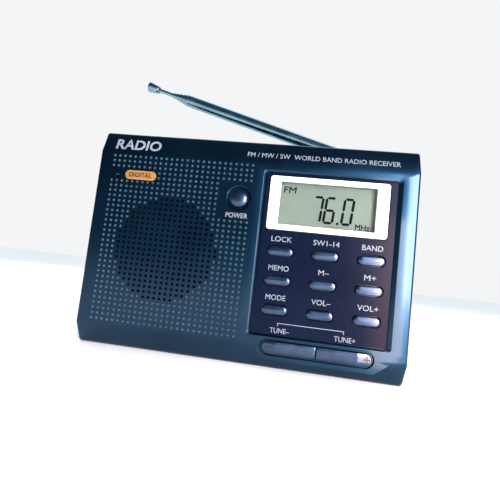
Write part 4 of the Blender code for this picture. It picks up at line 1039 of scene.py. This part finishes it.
@dataclass
class PillKey:
    """Key cap: a half-round ended bar with a crowned top and its retaining flange.

    The crown reaches in by crown_inset and the flat on top of it by flat_inset of the radius.
    """

    node: str
    flange: float = 1.0
    crown: float = 0.85
    crown_inset: float = 0.72
    crown_flat: float = 0.08
    crown_steps: int = 7
    flat_inset: float = 0.92
    flange_depth: float = 0.9

    def build(self) -> bpy.types.Object:
        """Make the cap as one closed stack of pill outlines."""
        box = node_box(self.node)
        low, high = box.low[[0, 2]] + self.flange, box.high[[0, 2]] - self.flange
        radius = (high[1] - low[1]) / 2
        cap = rounded_outline(low, high, radius - WELD_MM, 10, 6)
        wide = rounded_outline(low - self.flange, high + self.flange,
                               radius + self.flange - WELD_MM, 10, 6)
        front, back = box.low[1], box.high[1]
        lip = back - self.flange_depth
        crown = dome(radius * self.crown_inset, front + self.crown, front + self.crown_flat,
                     self.crown_steps)
        rings = profiled(cap, [(radius * self.flat_inset, front), *reversed(crown), (0.0, lip)])
        rings += profiled(wide, [(0.0, lip), (0.0, back)])
        return solid(rings, self.node + "_moulding", KEY_ABS, self.node + "_cap", "key_abs",
                     [self.node])


@dataclass
class PowerKey:
    """Round power key with a domed front, which starts start_angle from its pole."""

    node: str = "power_key"
    flange_depth: float = 0.9
    dome_height: float = 1.5
    start_angle: float = 0.06

    def build(self) -> bpy.types.Object:
        """Turn the key's profile about its press axis."""
        box = node_box(self.node)
        wide = box.size[0] / 2
        radius = wide - POWER_FLANGE_MM
        front, base = box.low[1], box.high[1]
        lip = base - self.flange_depth
        profile = [(radius * math.sin(a), front + self.dome_height * (1 - math.cos(a)))
                   for a in np.linspace(self.start_angle, math.pi / 2, 12)]
        profile += [(radius, lip), (wide, lip), (wide, base)]
        middle = np.array([box.middle[0], 0.0, box.middle[2]])
        return solid(turned(profile, middle, np.array([0.0, 1.0, 0.0]), 48), "power_key_moulding",
                     KEY_ABS, "power_key_cap", "key_abs", [self.node])


@dataclass
class TuneKey:
    """Half of the tuning bar: sloped end pad, ridge, long slope to the split, crowned across."""

    node: str
    outward: int
    ridge_at: float = 5.9
    ridge_round: float = 0.1
    pad_drop: float = 0.75
    split_drop: float = 0.62
    crown: float = 0.38
    edge: float = 0.3

    def __post_init__(self) -> None:
        """Take the key's ends from its node: the outer one has a flange behind the slot."""
        box = node_box(self.node)
        ends = (box.high[0], box.low[0])
        self.front, self.back = box.low[1], box.high[1]
        self.inner, self.outer = ends if self.outward < 0 else ends[::-1]
        self.outer -= self.outward * TUNE_FLANGE_MM
        self.length = abs(self.inner - self.outer)

    def height_at(self, x: np.ndarray, z: np.ndarray) -> np.ndarray:
        """Depth y of the key's face.

        With s the distance from the outer end, the face falls pad_drop * (1 - s / ridge_at) on the
        pad and split_drop * (s - ridge_at) / (length - ridge_at) beyond it, plus crown * t ** 4
        across, where t runs from -1 to 1 between the long sides.
        """
        along = np.abs(x - self.outer)
        fall = np.where(along < self.ridge_at, self.pad_drop * (1 - along / self.ridge_at),
                        self.split_drop * (along - self.ridge_at) / (self.length - self.ridge_at))
        return self.front + fall + self.crown * ((z - TUNE_MIDDLE_MM) / TUNE_RADIUS_MM) ** 4

    def build(self) -> bpy.types.Object:
        """Make the face as a grid over a half-obround, round its rim over, and close it below.

        Row k runs across the key at its distance from the outer end; rows within the end's half
        circle are as short as the chord there. The rim is the grid's border pulled in by the edge.
        """
        radius = TUNE_RADIUS_MM
        end = radius * (1 - np.cos(np.linspace(0.0, math.pi / 2, 14)))
        ridge = [self.ridge_at - self.ridge_round, self.ridge_at + self.ridge_round]
        body = np.linspace(radius, self.length, 34)
        along = np.unique(np.round(np.concatenate([end, body, ridge]), 4))
        half = np.sqrt(np.clip(radius ** 2 - np.clip(radius - along, 0, None) ** 2, 0, None))
        across = np.sin(np.linspace(-math.pi / 2, math.pi / 2, 17))
        x = np.broadcast_to((self.outer - self.outward * along)[:, None], (len(along), len(across)))
        flat = np.stack([x, TUNE_MIDDLE_MM + half[:, None] * across[None]], -1)
        middle = np.array([(self.outer + self.inner) / 2, TUNE_MIDDLE_MM])
        pull = 1 - self.edge / np.array([self.length / 2, radius])
        inner_x, inner_z = np.moveaxis(middle + (flat - middle) * pull, -1, 0)
        top = np.stack([inner_x, self.height_at(inner_x, inner_z), inner_z], -1)
        skin = Skin()
        skin.grid(top)
        rim = grid_border(top)
        outer_rim = rim.copy()
        outer_rim[:, [0, 2]] = middle + (rim[:, [0, 2]] - middle) / pull
        half_way = (rim + outer_rim) / 2
        half_way[:, 1] += self.edge * 0.25
        outer_rim[:, 1] += self.edge
        base = outer_rim.copy()
        base[:, 1] = self.back
        skin.stack([rim, half_way, outer_rim, base], False, True)
        name = self.node + "_moulding"
        return place(skin.mesh(name), name, KEY_ABS, self.node + "_cap", "key_abs", [self.node])


# ------------------------------------------------------------------ display
@dataclass(frozen=True)
class Label:
    """Word printed on a surface: text, middle (x, z), width, and height of its tallest letter."""

    text: str
    x: float
    z: float
    width: float
    height: float


@dataclass
class Display:
    """White bezel, clear window, LCD glass and the segments that it shows."""

    bezel_corner: float = 1.2
    opening_corner: float = 0.4
    opening_low: tuple[float, float] = (13.75, 62.1)
    opening_high: tuple[float, float] = (54.7, 81.1)
    digit_height: float = 11.0
    digit_width: float = 4.9
    stroke: float = 1.12
    stroke_gap: float = 0.12
    print_thickness: float = 0.04
    print_height: float = 0.02
    slant: float = 0.09
    shown: tuple[tuple[str, float], ...] = (("7", 27.9), ("6", 33.3), ("0", 41.0))
    digit_z: float = 64.9
    point_x: tuple[float, float] = (38.9, 39.95)
    point_z: tuple[float, float] = (-0.5, 0.55)
    words: tuple[Label, ...] = (Label("FM", 17.9, 78.1, 5.3, 2.7),
                                Label("MHz", 50.0, 64.2, 6.0, 2.4))

    SEGMENTS = {"7": "abc", "6": "afgedc", "0": "abcdef"}
    SEGMENT_ENDS = {"a": ("tl", "tr"), "b": ("tr", "mr"), "c": ("mr", "br"), "d": ("bl", "br"),
                    "e": ("ml", "bl"), "f": ("tl", "ml"), "g": ("ml", "mr")}

    def bezel(self) -> bpy.types.Object:
        """Frame with rounded outer edge and a bevelled inner opening."""
        box = node_box("display_bezel")
        outer = rounded_outline(box.low[[0, 2]], box.high[[0, 2]], self.bezel_corner, 6, 4)
        inner = rounded_outline(self.opening_low, self.opening_high, self.opening_corner, 6, 4)
        front, back = box.low[1], box.high[1]
        rings = profiled(outer, [(0.0, back), (0.0, front + 0.25), (0.08, front + 0.08),
                                 (0.25, front)])
        rings += profiled(inner, [(-0.35, front), (-0.1, front + 0.1), (0.0, front + 0.3),
                                  (0.0, back)])
        skin = Skin()
        skin.stack([*rings, rings[0]])
        return place(skin.mesh("bezel_frame"), "bezel_frame", BEZEL_ABS, "case", "bezel_white",
                     ["display_bezel"])

    def slab(self, node: str, name: str, finish: Finish, slot: str,
             edge: float) -> bpy.types.Object:
        """Flat plate with softened edges in place of a frame node."""
        box = node_box(node)
        outline = rounded_outline(box.low[[0, 2]], box.high[[0, 2]], edge * 2, 3, 4)
        front, back = box.low[1], box.high[1]
        steps = [(edge, front), (0.0, front + edge), (0.0, back - edge), (edge, back)]
        return solid(profiled(outline, steps), name, finish, "case", slot, [node])

    def segment(self, skin: Skin, start: np.ndarray, end: np.ndarray, y: float) -> None:
        """Six-sided LCD bar between two joints, pointed at both ends, a hair proud of the glass."""
        along = (end - start) / np.linalg.norm(end - start)
        across = np.array([-along[1], along[0]])
        half = self.stroke / 2
        first, last = start + along * self.stroke_gap, end - along * self.stroke_gap
        ring = np.array([first, first + (along - across) * half, last - (along + across) * half,
                         last, last - (along - across) * half, first + (along + across) * half])
        skin.stack([lift(ring, y), lift(ring, y - self.print_thickness)], True, True)

    def digits(self) -> bpy.types.Object:
        """Slanted seven-segment figures and the decimal point.

        Each figure's joints are named by their height (top, middle, bottom) and side.
        """
        y = node_box("lcd_glass").low[1] - self.print_height
        skin = Skin()
        width, half = self.digit_width - self.stroke, self.digit_height / 2
        for text, x in self.shown:
            joints = {level + side: np.array([x + dx + self.slant * dz, self.digit_z + dz])
                      for level, dz in (("t", 2 * half), ("m", half), ("b", 0.0))
                      for side, dx in (("l", 0.0), ("r", width))}
            for letter in self.SEGMENTS[text]:
                first, second = self.SEGMENT_ENDS[letter]
                self.segment(skin, joints[first], joints[second], y)
        (left, right), (low, high) = self.point_x, self.point_z
        dot = rounded_outline((left, self.digit_z + low), (right, self.digit_z + high), 0.2, 2, 1)
        skin.stack(profiled(dot, [(0, y), (0, y - self.print_thickness)]), True, True)
        place(skin.mesh("lcd_figures"), "lcd_figures", LCD_SEGMENT, "case", "lcd")
        return Lettering("lcd_words", self.words, y, LCD_SEGMENT, "lcd", bold=0.1,
                         italic=0.06).build()

    def build(self) -> None:
        """Make every layer of the display."""
        self.bezel()
        self.slab("display_window", "window_pane", WINDOW_ACRYLIC, "window_clear", 0.1)
        self.slab("lcd_glass", "lcd_cell", LCD_GLASS, "lcd", 0.12)
        self.digits()


# ------------------------------------------------------------------ lettering
@dataclass
class Lettering:
    """Screen-printed words at one depth, with the ink's spread and the slopes they follow."""

    name: str
    labels: tuple[Label, ...]
    y: float
    finish: Finish
    slot: str
    bold: float = 0.0
    lean: float = 0.0
    italic: float = 0.0
    ink_thickness: float = 0.02
    capital_share: float = 0.7

    def word(self, label: Label) -> bpy.types.Mesh:
        """Make one word as a mesh that faces -Y, stretched to its label's width and height.

        Args:
            label: the word and where it goes.

        Returns:
            The word's mesh, in metres and in place.
        """
        curve = bpy.data.curves.new(self.name, "FONT")
        curve.body = label.text
        curve.size = label.height * MM / self.capital_share
        curve.align_x = "CENTER"
        curve.align_y = "CENTER"
        curve.extrude = self.ink_thickness * MM
        curve.resolution_u = 3
        holder = bpy.data.objects.new(self.name, curve)
        bpy.context.scene.collection.objects.link(holder)
        depsgraph = bpy.context.evaluated_depsgraph_get()
        mesh = bpy.data.meshes.new_from_object(holder.evaluated_get(depsgraph))
        bpy.data.objects.remove(holder)
        points = np.zeros(len(mesh.vertices) * 3, np.float32)
        mesh.vertices.foreach_get("co", points)
        flat = points.reshape(-1, 3)
        middle = (flat.max(0) + flat.min(0)) / 2
        reach = flat.max(0) - flat.min(0)
        across = (flat[:, 0] - middle[0]) * label.width * MM / reach[0]
        upward = (flat[:, 1] - middle[1]) * label.height * MM / reach[1]
        moved = np.stack([label.x * MM + across + self.italic * upward,
                          self.y * MM + self.lean * upward - flat[:, 2], label.z * MM + upward], -1)
        mesh.vertices.foreach_set("co", moved.astype(np.float32).ravel())
        return mesh

    def build(self) -> bpy.types.Object:
        """Join all words into one printed piece."""
        bm = bmesh.new()
        for label in self.labels:
            mesh = self.word(label)
            bm.from_mesh(mesh)
            bpy.data.meshes.remove(mesh)
        bmesh.ops.remove_doubles(bm, verts=bm.verts, dist=1e-7)
        bmesh.ops.recalc_face_normals(bm, faces=bm.faces)
        joined = bpy.data.meshes.new(self.name)
        bm.to_mesh(joined)
        bm.free()
        self.embolden(joined)
        return place(joined, self.name, self.finish, "case", self.slot)

    def embolden(self, mesh: bpy.types.Mesh) -> None:
        """Move every outline point outwards in the printed plane by the ink's spread.

        A point on a letter's rim belongs to side faces and to one flat face, so the x and z of its
        normal point straight out of the letter; the y follows the surface's lean.
        """
        count = len(mesh.vertices)
        points, normals = np.zeros(count * 3, np.float32), np.zeros(count * 3, np.float32)
        mesh.vertices.foreach_get("co", points)
        mesh.vertices.foreach_get("normal", normals)
        flat, away = points.reshape(-1, 3), normals.reshape(-1, 3).copy()
        away[:, 1] = 0.0
        length = np.linalg.norm(away, axis=1, keepdims=True)
        shift = np.where(length > 0.05, away / np.maximum(length, 1e-6), 0.0) * self.bold * MM
        shift[:, 1] = self.lean * shift[:, 2]
        mesh.vertices.foreach_set("co", (flat + shift).astype(np.float32).ravel())
        mesh.update()


def panel_labels() -> tuple[Label, ...]:
    """Words above the nine keys, placed from the keys' own boxes, and the tuning words."""
    words = {"key_lock": ("LOCK", 8.8), "key_short_wave": ("SW1-14", 10.9),
             "key_band": ("BAND", 8.5), "key_memory": ("MEMO", 8.7),
             "key_memory_down": ("M\u2013", 4.4), "key_memory_up": ("M+", 4.8),
             "key_mode": ("MODE", 8.5),
             "key_volume_down": ("VOL\u2013", 7.9), "key_volume_up": ("VOL+", 8.4)}
    beside, above, height = 0.1, 5.3, 2.25
    labels = [Label("TUNE\u2013", 19.5, 16.9, 8.2, 2.1), Label("TUNE+", 46.3, 16.7, 8.6, 2.1)]
    for node, (text, width) in words.items():
        x, _, z = node_box(node).middle
        labels.append(Label(text, x + beside, z + above, width, height))
    return tuple(labels)


@dataclass
class Bracket:
    """Printed line that ties the two tuning words together, with its ends turned down."""

    left: float = 18.3
    right: float = 45.8
    top: float = 20.1
    drop: float = 1.35
    line: float = 0.28
    gap: float = 0.02
    thickness: float = 0.03

    def build(self) -> bpy.types.Object:
        """Make the three strokes as thin plates on the panel's face."""
        front = node_box("keypad_panel").low[1] - PROUD_MM
        skin = Skin()
        foot, under = self.top - self.drop, self.top - self.line
        strokes = [((self.left, under), (self.right, self.top)),
                   ((self.left, foot), (self.left + self.line, under - self.gap)),
                   ((self.right - self.line, foot), (self.right, under - self.gap))]
        for low, high in strokes:
            outline = rounded_outline(low, high, 0.1, 2, 2)
            skin.stack(profiled(outline, [(0.0, front), (0.0, front - self.thickness)]), True, True)
        return place(skin.mesh("tuning_bracket"), "tuning_bracket", LABEL_INK, "case",
                     "panel_gloss")


@dataclass
class PadMarks:
    """Minus and plus printed on the end pads of the tuning keys, following the pads' slope."""

    arm: float = 1.45
    line: float = 0.62
    places: tuple[tuple[str, int, float, bool], ...] = (("tune_down_key", -1, 15.7, False),
                                                        ("tune_up_key", 1, 55.6, True))
    middle_z: float = 9.95
    lifted: float = 0.02
    gap: float = 0.01

    def stroke(self, skin: Skin, key: TuneKey, x: float, z: float, reach: Sequence[float]) -> None:
        """Add one bar laid on the key: a small grid lifted a little off the key's face.

        Args:
            skin: the surface that the bar joins.
            key: the key that it lies on.
            x: the bar's middle.
            z: its height.
            reach: half its width and half its height.
        """
        share = np.linspace(-1.0, 1.0, 7)
        across, up = np.meshgrid(x + share * reach[0], z + share * reach[1])
        points = np.stack([across, key.height_at(across, up) - self.lifted, up], -1)
        rim = grid_border(points)
        skin.grid(points)
        skin.stack([rim, rim + [0.0, 2 * self.lifted, 0.0]], False, True)

    def build(self) -> None:
        """Mark both keys; a plus has an upright bar above and one below its crossbar."""
        half = self.line / 2
        side, upright = (self.arm + half) / 2, (self.arm - half) / 2 - self.gap
        for node, outward, x, plus in self.places:
            key = TuneKey(node, outward)
            skin = Skin()
            self.stroke(skin, key, x, self.middle_z, (self.arm, half))
            for sign in (-1, 1) if plus else ():
                self.stroke(skin, key, x, self.middle_z + sign * side, (half, upright))
            place(skin.mesh(node + "_mark"), node + "_mark", MARK_INK, node + "_cap", "key_abs")


@dataclass
class CaseWords:
    """Words printed on the case itself: on the sloping band, and under the power key."""

    band_lean: float = 0.295
    face_y: float = -14.5
    band_foot: float = 89.2
    band: tuple[tuple[str, Label, float], ...] = (
        ("band_word", Label("RADIO", -54.2, 93.1, 21.5, 5.0), 0.2),
        ("band_line", Label("FM / MW / SW  WORLD BAND RADIO RECEIVER", 30.4, 92.5, 66.0, 2.3), 0.0))
    power: Label = Label("POWER", -4.4, 64.1, 9.7, 2.2)

    def build(self) -> None:
        """Print the band's words, which fall back by band_lean per unit of height, and POWER."""
        for name, label, bold in self.band:
            y = self.face_y + (label.z - self.band_foot) * self.band_lean - PROUD_MM
            Lettering(name, (label,), y, LABEL_INK, "case_abs", bold, self.band_lean).build()
        y = self.face_y - PROUD_MM
        Lettering("power_word", (self.power,), y, LABEL_INK, "case_abs", bold=0.03).build()


# ------------------------------------------------------------------ badge
class Badge:
    """Amber pill-shaped badge with a soft edge."""

    def build(self) -> None:
        """Make the badge plate and its word."""
        box = node_box("badge_plate")
        low, high = box.low[[0, 2]], box.high[[0, 2]]
        radius = (high[1] - low[1]) / 2 - WELD_MM
        front = box.low[1]
        rings = profiled(rounded_outline(low, high, radius, 10, 4),
                         [(0.0, box.high[1]), (0.0, front + 0.2), (0.08, front + 0.07),
                          (0.25, front), (radius * 0.8, front)])
        solid(rings, "badge_pill", BADGE_AMBER, "case", "badge_amber", ["badge_plate"])
        word = Label("DIGITAL", box.middle[0], box.middle[2], 10.6, 2.0)
        Lettering("badge_word", (word,), front - PROUD_MM, BADGE_INK, "badge_amber",
                  bold=0.09).build()


# ------------------------------------------------------------------ antenna
@dataclass
class Antenna:
    """Telescopic rod: plated tubes with rolled ends, the last solid rod, and its tip.

    Distances along the rod are measured from the tilt pivot.
    """

    radii: tuple[float, ...] = (3.05, 2.65, 2.25, 1.85, 1.45, 1.05)
    wall: float = 0.25
    start: float = 5.6
    nested_start: float = 8.2
    nested_step: float = 1.5
    main_end: float = 111.4
    end_step: float = 2.1
    rolled: Profile = ((0.0, 1.5), (0.03, 0.55), (0.1, 0.2), (0.2, 0.0))
    thin_end: float = 128.3
    thin_edge: float = 0.1
    tip_end: float = 134.7
    tip_foot: Profile = ((1.15, 0.1), (1.6, 0.25), (1.9, 0.8), (2.15, 1.7))
    tip_head: Profile = ((2.4, 2.4), (2.62, 1.5), (2.7, 0.9), (2.6, 0.4), (2.2, 0.08), (1.2, 0.0))

    def __post_init__(self) -> None:
        """Take the tilt pivot and the rod's direction from the frame's joints."""
        joints = {joint["name"]: joint for joint in FRAME["joints"]}
        self.pivot = np.array(joints["antenna_tilt"]["pos_m"]) / MM
        self.axis = np.array(joints["antenna_slide_2"]["axis"], float)

    def tube(self, index: int) -> None:
        """Make a section whose end is rolled in over the next one."""
        outer = self.radii[index]
        inner = outer - self.wall
        start = self.nested_start + self.nested_step * index if index else self.start
        end = self.main_end + self.end_step * index
        profile = [(inner, start), (outer, start)]
        profile += [(outer - sunk, end - left) for sunk, left in self.rolled]
        profile += [(inner, end), (inner, start)]
        skin = Skin()
        skin.stack(turned(profile, self.pivot, self.axis, 40))
        node = f"antenna_section_{index + 1}"
        place(skin.mesh(node + "_tube"), node + "_tube", CHROME, f"antenna_tube_{index + 1}",
              "antenna_chrome", [node])

    def build(self) -> None:
        """Make the tubes, then the thin rod and the flared tip crimped on it."""
        last = len(self.radii) - 1
        for index in range(last):
            self.tube(index)
        radius, edge, end = self.radii[last], self.thin_edge, self.thin_end
        start = self.nested_start + self.nested_step * last
        rod = [(radius - edge, start), (radius, start + edge), (radius, end - edge),
               (radius - edge, end)]
        tip = [(wide, end + along) for wide, along in self.tip_foot]
        tip += [(wide, self.tip_end - left) for wide, left in self.tip_head]
        for profile, steps, name, node in ((rod, 24, "antenna_section_6_tube", "antenna_section_6"),
                                           (tip, 40, "antenna_knob", "antenna_tip")):
            solid(turned(profile, self.pivot, self.axis, steps), name, CHROME, "antenna_tube_6",
                  "antenna_chrome", [node])


# ------------------------------------------------------------------ carried-over nodes
@dataclass(frozen=True)
class CarriedOver:
    """Frame node whose own shape is right: merged, edges rounded, dressed in a finish."""

    node: str
    body: str
    slot: str
    finish: Finish
    edge_mm: float = 0.1
    merge_mm: float = 0.002
    flat_degrees: float = 0.5
    smooth_degrees: float = 32.0
    round_degrees: float = 40.0

    def build(self) -> bpy.types.Object:
        """Copy the node's mesh, merge its loose triangles and round its edges."""
        bm = bmesh.new()
        bm.from_mesh(FRAME["nodes"][self.node].data)
        bmesh.ops.remove_doubles(bm, verts=bm.verts, dist=self.merge_mm * MM)
        bmesh.ops.dissolve_limit(bm, angle_limit=math.radians(self.flat_degrees), verts=bm.verts,
                                 edges=bm.edges)
        mesh = bpy.data.meshes.new(self.node + "_shape")
        bm.to_mesh(mesh)
        bm.free()
        mesh.shade_smooth()
        mesh.set_sharp_from_angle(angle=math.radians(self.smooth_degrees))
        piece = place(mesh, self.node + "_dressed", self.finish, self.body, self.slot, [self.node])
        rounding = piece.modifiers.new("edge_round", "BEVEL")
        rounding.width = self.edge_mm * MM
        rounding.segments = 2
        rounding.limit_method = "ANGLE"
        rounding.angle_limit = math.radians(self.round_degrees)
        rounding.harden_normals = True
        return piece


def carried_over() -> list[CarriedOver]:
    """Every frame node that keeps its own shape, with its finish."""
    groups = [
        ("case", CASE_ABS, "case_abs", ["rear_cabinet"]),
        ("door", CASE_ABS, "case_abs", ["battery_door"]),
        ("stand", CASE_ABS, "case_abs", ["kickstand"]),
        ("case", LED_LENS, "led_dark", ["tuning_led"]),
        ("case", CLOTH, "speaker_paper", ["speaker_cloth"]),
        ("case", PAPER_CONE, "speaker_paper", ["speaker_cone"]),
        ("case", TINPLATE, "speaker_steel", ["speaker_basket", "tuner_can"]),
        ("case", FERRITE, "ferrite", ["speaker_magnet", "ferrite_rod"]),
        ("case", COPPER, "copper_wire", ["ferrite_coil"]),
        ("case", SOLDER_MASK, "circuit_board", ["main_board", "key_board"]),
        ("case", SILICONE, "silicone", ["keypad_membrane", "lcd_connector_strip", "speaker_lead"]),
        ("case", WINDOW_ACRYLIC, "window_clear", ["lcd_light_guide"]),
        ("case", SOCKET_NYLON, "socket_black", ["headphone_jack", "dc_jack"]),
        ("case", CELL_SLEEVE, "cell_sleeve", ["smoothing_capacitor"]),
        ("case", ZINC_STEEL, "zinc_steel", ["kickstand_pin"]),
        ("antenna_swivel_base", CHROME, "antenna_chrome", ["antenna_base"]),
        ("antenna_swivel_base", ZINC_STEEL, "zinc_steel", ["antenna_hinge_pin"]),
        ("antenna_tube_1", CHROME, "antenna_chrome", ["antenna_knuckle"]),
        ("case", CELL_SLEEVE, "cell_sleeve", [f"battery_cell_{i}" for i in (1, 2, 3)]),
        ("case", ZINC_STEEL, "zinc_steel", [f"case_screw_{i}" for i in (1, 2, 3, 4)]),
        ("case", ZINC_STEEL, "zinc_steel", ["battery_terminal_plus", "battery_terminal_minus",
                                            "battery_link_left", "battery_link_right"]),
    ]
    return [CarriedOver(node, body, slot, finish)
            for body, finish, slot, nodes in groups for node in nodes]


# ------------------------------------------------------------------ studio
@dataclass(frozen=True)
class SoftBox:
    """Area light: where it stands, what it points at, its size, power and colour."""

    name: str
    position: tuple[float, float, float]
    target: tuple[float, float, float]
    size: tuple[float, float]
    watts: float
    colour: str
    glint_only: bool = False

    def build(self) -> None:
        """Put the light in the scene; a glint card shows only as a sheen on glossy surfaces."""
        data = bpy.data.lights.new(self.name, "AREA")
        data.shape = "RECTANGLE"
        data.size, data.size_y = self.size
        data.energy = self.watts
        data.color = linear(self.colour)[:3]
        lamp = bpy.data.objects.new(self.name, data)
        lamp.location = self.position
        aim = Vector(self.target) - Vector(self.position)
        lamp.rotation_euler = aim.to_track_quat("-Z", "Y").to_euler()
        if self.glint_only:
            lamp.visible_camera = lamp.visible_diffuse = lamp.visible_transmission = False
        bpy.context.scene.collection.objects.link(lamp)


@dataclass
class Studio:
    """Floor, soft lights, world and the camera."""

    camera_place: tuple[float, float, float] = (0.018812, -0.151140, 0.038888)
    camera_turn: tuple[float, float, float] = (94.4586, -6.4633, 5.9696)
    lens_mm: float = 22.907
    sensor_mm: float = 36.0
    lights: tuple[SoftBox, ...] = (
        SoftBox("right_panel", (0.335, -0.43, 0.15), (0.04, 0.0, 0.06), (0.24, 0.28), 8.0,
                "#fff0f2"),
        SoftBox("glint_card", (0.0735, -0.0425, 0.038), (0.0735, 0.0, 0.038), (0.018, 0.074),
                0.062, "#ffc0a6", True),
        SoftBox("top_panel", (0.0, 0.28, 0.75), (0.0, 0.0, 0.0), (0.9, 0.6), 3.2, "#f0f8fc"),
        SoftBox("rear_fill", (-0.35, 0.8, 0.4), (0.0, 0.0, 0.05), (0.7, 0.5), 3.0, "#f2f4f6"),
    )

    floor_reach: float = 30000.0

    def floor(self) -> None:
        """Plain pale floor with its far edge out of sight."""
        skin = Skin()
        side = np.linspace(-self.floor_reach, self.floor_reach, 9)
        x, y = np.meshgrid(side, side)
        skin.grid(np.stack([x, y, np.zeros_like(x)], -1))
        mesh = skin.mesh("floor")
        mesh.materials.append(FLOOR_PAINT.material())
        floor = bpy.data.objects.new("floor", mesh)
        bpy.context.scene.collection.objects.link(floor)

    def world(self) -> None:
        """Pale surroundings that fill the shadows; what mirrors them sees a dim room instead."""
        world = bpy.data.worlds.new("studio")
        bpy.context.scene.world = world
        world.use_nodes = True
        tree = world.node_tree
        tree.nodes.clear()
        pale, fill, dusk = (
            add_node(tree, "ShaderNodeBackground", {"Color": linear(colour), "Strength": strength})
            for colour, strength in (("#f4f5f6", 1.0), ("#eaf2f6", 1.1), ("#6fa4c4", 0.35)))
        path = add_node(tree, "ShaderNodeLightPath")
        soft = add_node(tree, "ShaderNodeMixShader", links={0: path.outputs["Is Glossy Ray"],
                                                            1: fill.outputs[0], 2: dusk.outputs[0]})
        mix = add_node(tree, "ShaderNodeMixShader", links={0: path.outputs["Is Camera Ray"],
                                                           1: soft.outputs[0], 2: pale.outputs[0]})
        add_node(tree, "ShaderNodeOutputWorld", links={"Surface": mix.outputs[0]})

    def camera(self) -> None:
        """Wide close camera, a little below the middle of the case and turned clockwise."""
        data = bpy.data.cameras.new("camera")
        data.lens = self.lens_mm
        data.sensor_width = self.sensor_mm
        data.clip_start = 0.01
        camera = bpy.data.objects.new("camera", data)
        camera.location = self.camera_place
        camera.rotation_euler = Euler([math.radians(turn) for turn in self.camera_turn])
        bpy.context.scene.collection.objects.link(camera)
        bpy.context.scene.camera = camera

    def build(self) -> None:
        """Set the whole studio up."""
        self.camera()
        self.floor()
        self.world()
        for light in self.lights:
            light.build()
        bpy.context.scene.view_settings.view_transform = "Standard"


def main() -> None:
    """Build every sub-assembly in order."""
    logging.basicConfig(level=logging.INFO, format="%(name)s: %(message)s")
    Studio().build()
    FrontCabinet().build()
    KeypadPanel().build()
    for node in (key for row in KEY_ROWS for key in row):
        PillKey(node).build()
    PowerKey().build()
    TuneKey("tune_down_key", -1).build()
    TuneKey("tune_up_key", 1).build()
    Display().build()
    Badge().build()
    face = node_box("keypad_panel").low[1] - PROUD_MM
    Lettering("panel_words", panel_labels(), face, LABEL_INK, "panel_gloss", bold=0.012).build()
    Bracket().build()
    CaseWords().build()
    PadMarks().build()
    Antenna().build()
    for node in carried_over():
        node.build()


if __name__ == "__main__":
    main()
